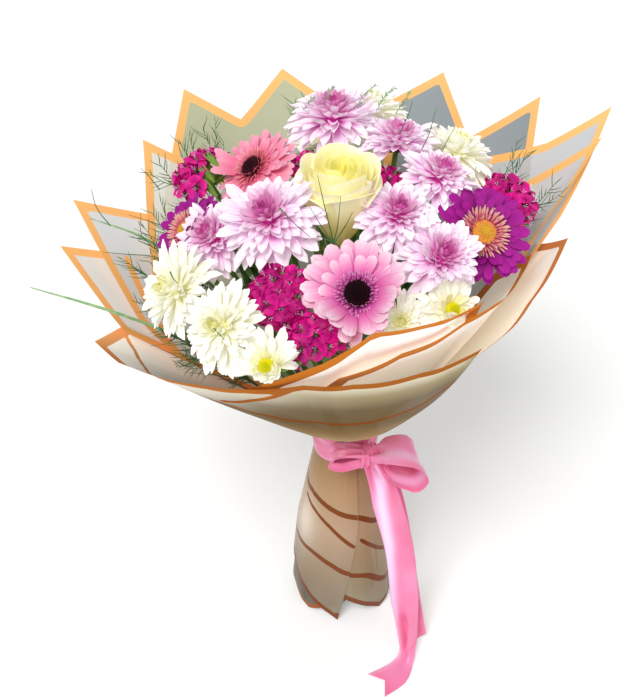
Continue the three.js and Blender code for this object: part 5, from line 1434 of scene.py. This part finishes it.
TAIL_BACK = [
    (28, -41, 234, 7, 1, 0.5, 0), (41, -43, 200, 12, 1, 0.5, 0), (50, -48, 160, 13, 1, 0.5, 0),
    (58, -58, 110, 13.5, 1, 0.4, 0), (66, -70, 60, 13.5, 1, 0.4, 0), (74, -85, 10, 14, 1, 0.3, 0),
]
CLOTH_THICKNESS = 0.35
WIDEST_HALF = 18.6
# Points across a run, and points along it for each of its stations
RUN_COLUMNS = 25
STATION_ROWS = 12
# Half widths between which the small pleats give way to one broad fold
PLEATED_HALF = 11
PLEAT_FADE = 5
FOLD_HEIGHT = 5.5
# Height under which the folds flatten towards the floor
FLATTENS_UNDER = 14
FLOOR_GAP = 0.6


def ribbon_run(name, run, folds, notch=0.0, turn=1.0, crease=None, replaces=()):
    """A run of ribbon of its full width: where it is narrower it is pleated, so that no cloth is lost."""
    count, columns = STATION_ROWS * len(run), RUN_COLUMNS
    run = np.array(run, float)
    centre, way = smooth_path(run[:, :3], count), smooth_path(run[:, 4:], count)
    half = np.minimum(np.interp(np.linspace(0, len(run) - 1, count), range(len(run)), run[:, 3]), WIDEST_HALF)
    along = unit(np.gradient(centre, axis=0))
    side = unit(way - along * (way * along).sum(-1, keepdims=True))
    face = np.cross(along, side) * turn
    share = np.linspace(0, 1, count)
    u = np.linspace(-1, 1, columns)
    pieces = 2 * folds
    drop = np.sqrt(np.maximum((RIBBON_WIDTH / pieces) ** 2 - (2 * half / pieces) ** 2, 0)) * 0.46
    wide = np.clip((half - PLEATED_HALF) / PLEAT_FADE, 0, 1)[:, None]
    lift = drop[:, None] * np.cos(folds * math.pi * (u + 1)) * (1 - 0.7 * wide)
    # A painted highlight along the run, a little off its middle, where the run is wide
    lustre = 0.5 * np.exp(-((u - 0.3) / 0.35) ** 2) * wide
    if crease:
        # One long fold; a painted highlight lies along its narrow side, where the light would catch it
        at = np.interp(share, [0, 0.35, 1], crease)[:, None]
        slope = np.where(u < at, (u + 1) / (at + 1), (1 - u) / (1 - at))
        lift = lift * (1 - wide) + wide * FOLD_HEIGHT * (slope - 0.12 * np.exp(-((u - at) / 0.12) ** 2))
        shine = np.interp(share, [0, 0.1, 0.3, 0.55, 1], [0.3, 1, 1, 0.35, 0.3])[:, None]
        lustre = shine * np.exp(-((u - at + 0.42) / (0.16 + 0.26 * shine)) ** 2)
    lift = lift * np.clip(centre[:, 2] / FLATTENS_UNDER, 0.04, 1)[:, None]
    grid = centre[:, None] + side[:, None] * (half[:, None] * u)[..., None] + face[:, None] * lift[..., None]
    if notch:
        cut = np.clip(share * 6 - 5, 0, 1) ** 2
        grid = grid - along[:, None] * (cut[:, None] * notch * (1 - np.abs(u)))[..., None]
    grid[..., 2] = np.maximum(grid[..., 2], FLOOR_GAP)
    length = np.linalg.norm(np.diff(centre, axis=0), axis=1).sum()
    shape = Shape().add(grid, grid_faces(count, columns), across=u,
                        along=np.linspace(0, length, count)[:, None], lustre=lustre)
    piece = add_piece(name, shape, SATIN, replaces)
    solidify = piece.modifiers.new("cloth", "SOLIDIFY")
    solidify.thickness = CLOTH_THICKNESS * MM


RING_RADIUS = 32.0
RING_HALF_WIDTH = 15.5


def ribbon_band():
    """The band round the neck, its width crushed into soft folds that droop at the left."""
    around = np.linspace(-180, 180, 145)
    u = np.linspace(-1, 1, RUN_COLUMNS)[:, None]
    droop = 3.0 * np.exp(-((around + 60) / 50) ** 2)
    height = TIE[2] + RING_HALF_WIDTH * u - droop * (1 - u) * 0.7
    fold = 0.55 * np.sin(5 * u + np.radians(around) * 2) + 0.35 * np.sin(9 * u - np.radians(around) * 3)
    grid = ring_point(RING_RADIUS + fold, around, height)
    shape = Shape().add(grid, grid_faces(*grid.shape[:2]), across=u, along=np.radians(around) * RING_RADIUS)
    piece = add_piece("satin_band", shape, SATIN)


def ribbon_knot():
    """The knot: one short pleated run wrapped over the crossing."""
    v = np.linspace(-1.15, 1.15, 40)[:, None] * math.pi / 2
    u = np.linspace(-1, 1, 41)
    pleat = 1.35 * np.sin(u * 13 + v * 0.8) + 0.4 * np.sin(u * 23)
    bulge = 1 - 0.32 * u**2
    depth = (10.4 + pleat) * bulge
    out = depth * np.cos(v)
    up = (12.6 + pleat) * (1 - 0.2 * u**2) * np.sin(v)
    sideways = 9.5 * u * (1 + 0.12 * np.cos(2 * v)) + 1.5 * np.sin(v)
    turn = math.radians(KNOT_TURN)
    x = KNOT[0] + sideways * math.cos(turn) + out * math.sin(turn)
    y = KNOT[1] + sideways * math.sin(turn) - out * math.cos(turn)
    grid = np.stack([x, y, KNOT[2] + up], -1)
    shape = Shape().add(grid, grid_faces(*grid.shape[:2]), across=u, along=v * 12)
    piece = add_piece("satin_knot", shape, SATIN)


def build_ribbon():
    ribbon_knot()
    ribbon_band()
    ribbon_run("satin_tail_front", TAIL_FRONT, 1.5, notch=11, crease=(0.7, -0.4, -0.6),
               replaces=("satin_ribbon",))
    ribbon_run("satin_tail_back", TAIL_BACK, 1.5, notch=-9, turn=-1.0, crease=(-0.3, 0.2, 0.4))
    ribbon_run("satin_loop_right", LOOP_RIGHT, 2)
    ribbon_run("satin_loop_left", LOOP_LEFT, 2)


# Radians of twist in a metre of twine
TWIST = 3600.0


def dress_twine():
    """The binding twine keeps its shape and gets a laid-fibre look."""
    finish = Finish("twine_finish", 0.9)
    turns = finish.math("SINE", finish.times(finish.height(), TWIST))
    fibres = finish.noise(420.0, detail=5.0)
    finish.drive(finish.ramp(fibres, (0.3, "#8E7648"), (0.7, "#C4AA78")), "Base Color")
    finish.bump(finish.math("ADD", turns, fibres), 0.6, 0.0008)
    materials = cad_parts["binding_twine"].data.materials
    materials.clear()
    materials.append(finish.material)


# Camera, floor and light
FOCAL_PIXELS = 1150.0
PICTURE_HEIGHT = 700.0
CAMERA_PLACE = (-26.0, -787.7, 1051.8)
CAMERA_DOWN = 42.0
# The floor's half side and its gap to the bunch, in metres
FLOOR_HALF = 6.0
FLOOR_DROP = 0.0002
# Where the lights stand and look, in metres; the angle over which the sun spreads, in degrees
LOOK_AT = np.array([0.0, 0.0, 0.35])
SUN_PLACE = (-0.3, -0.66, 1.45)
SUN_STRENGTH = 2.2
SUN_SPREAD = 26
LAMPS = {"fill": (1.3, -1.5, 0.9), "rim": (0.5, 1.8, 1.6)}
LAMP_STRENGTH = 6
LAMP_SIZE = 1.4
SKY_STRENGTH = 0.42


def build_view():
    data = bpy.data.cameras.new("view")
    data.sensor_fit = "VERTICAL"
    data.sensor_height = 36.0
    data.lens = data.sensor_height * FOCAL_PIXELS / PICTURE_HEIGHT
    camera = bpy.data.objects.new("view", data)
    camera.location = [value * MM for value in CAMERA_PLACE]
    camera.rotation_euler = (math.radians(90 - CAMERA_DOWN), 0, 0)
    bpy.context.scene.collection.objects.link(camera)
    bpy.context.scene.camera = camera


def build_stage():
    mesh = bpy.data.meshes.new("floor")
    corners = [(FLOOR_HALF * x, FLOOR_HALF * y, 0) for x, y in ((-1, -1), (1, -1), (1, 1), (-1, 1))]
    mesh.from_pydata(corners, [], [(0, 1, 2, 3)])
    floor = bpy.data.objects.new("floor", mesh)
    floor.location.z = -FLOOR_DROP
    finish = Finish("floor_finish", 0.9, Emission_Strength=0.32)
    plain = finish.ramp(finish.noise(2.0), (0.0, "#E0E0DF"), (1.0, "#E3E3E2"))
    finish.drive(plain, "Base Color", "Emission Color")
    mesh.materials.append(finish.material)
    bpy.context.scene.collection.objects.link(floor)
    world = bpy.data.worlds.new("studio")
    world.use_nodes = True
    background = world.node_tree.nodes["Background"]
    background.inputs["Color"].default_value = (1, 1, 1, 1)
    background.inputs["Strength"].default_value = SKY_STRENGTH
    bpy.context.scene.world = world
    bpy.context.scene.view_settings.view_transform = "Standard"
    sun = bpy.data.lights.new("key", "SUN")
    sun.energy, sun.angle = SUN_STRENGTH, math.radians(SUN_SPREAD)
    add_light(sun, SUN_PLACE)
    for name, place in LAMPS.items():
        light = bpy.data.lights.new(name, "AREA")
        light.energy, light.size = LAMP_STRENGTH, LAMP_SIZE
        add_light(light, place)


def add_light(light, place):
    """A light that looks at the middle of the bouquet."""
    lamp = bpy.data.objects.new(light.name, light)
    lamp.location = place
    way = LOOK_AT - np.array(place)
    lamp.rotation_euler = (math.atan2(math.hypot(way[0], way[1]), -way[2]), 0,
                           math.atan2(way[1], way[0]) - math.pi / 2)
    bpy.context.scene.collection.objects.link(lamp)


build_view()
build_stage()
build_heads()
build_stems()
build_leaves()
build_greenery()
build_film()
build_ribbon()
dress_twine()
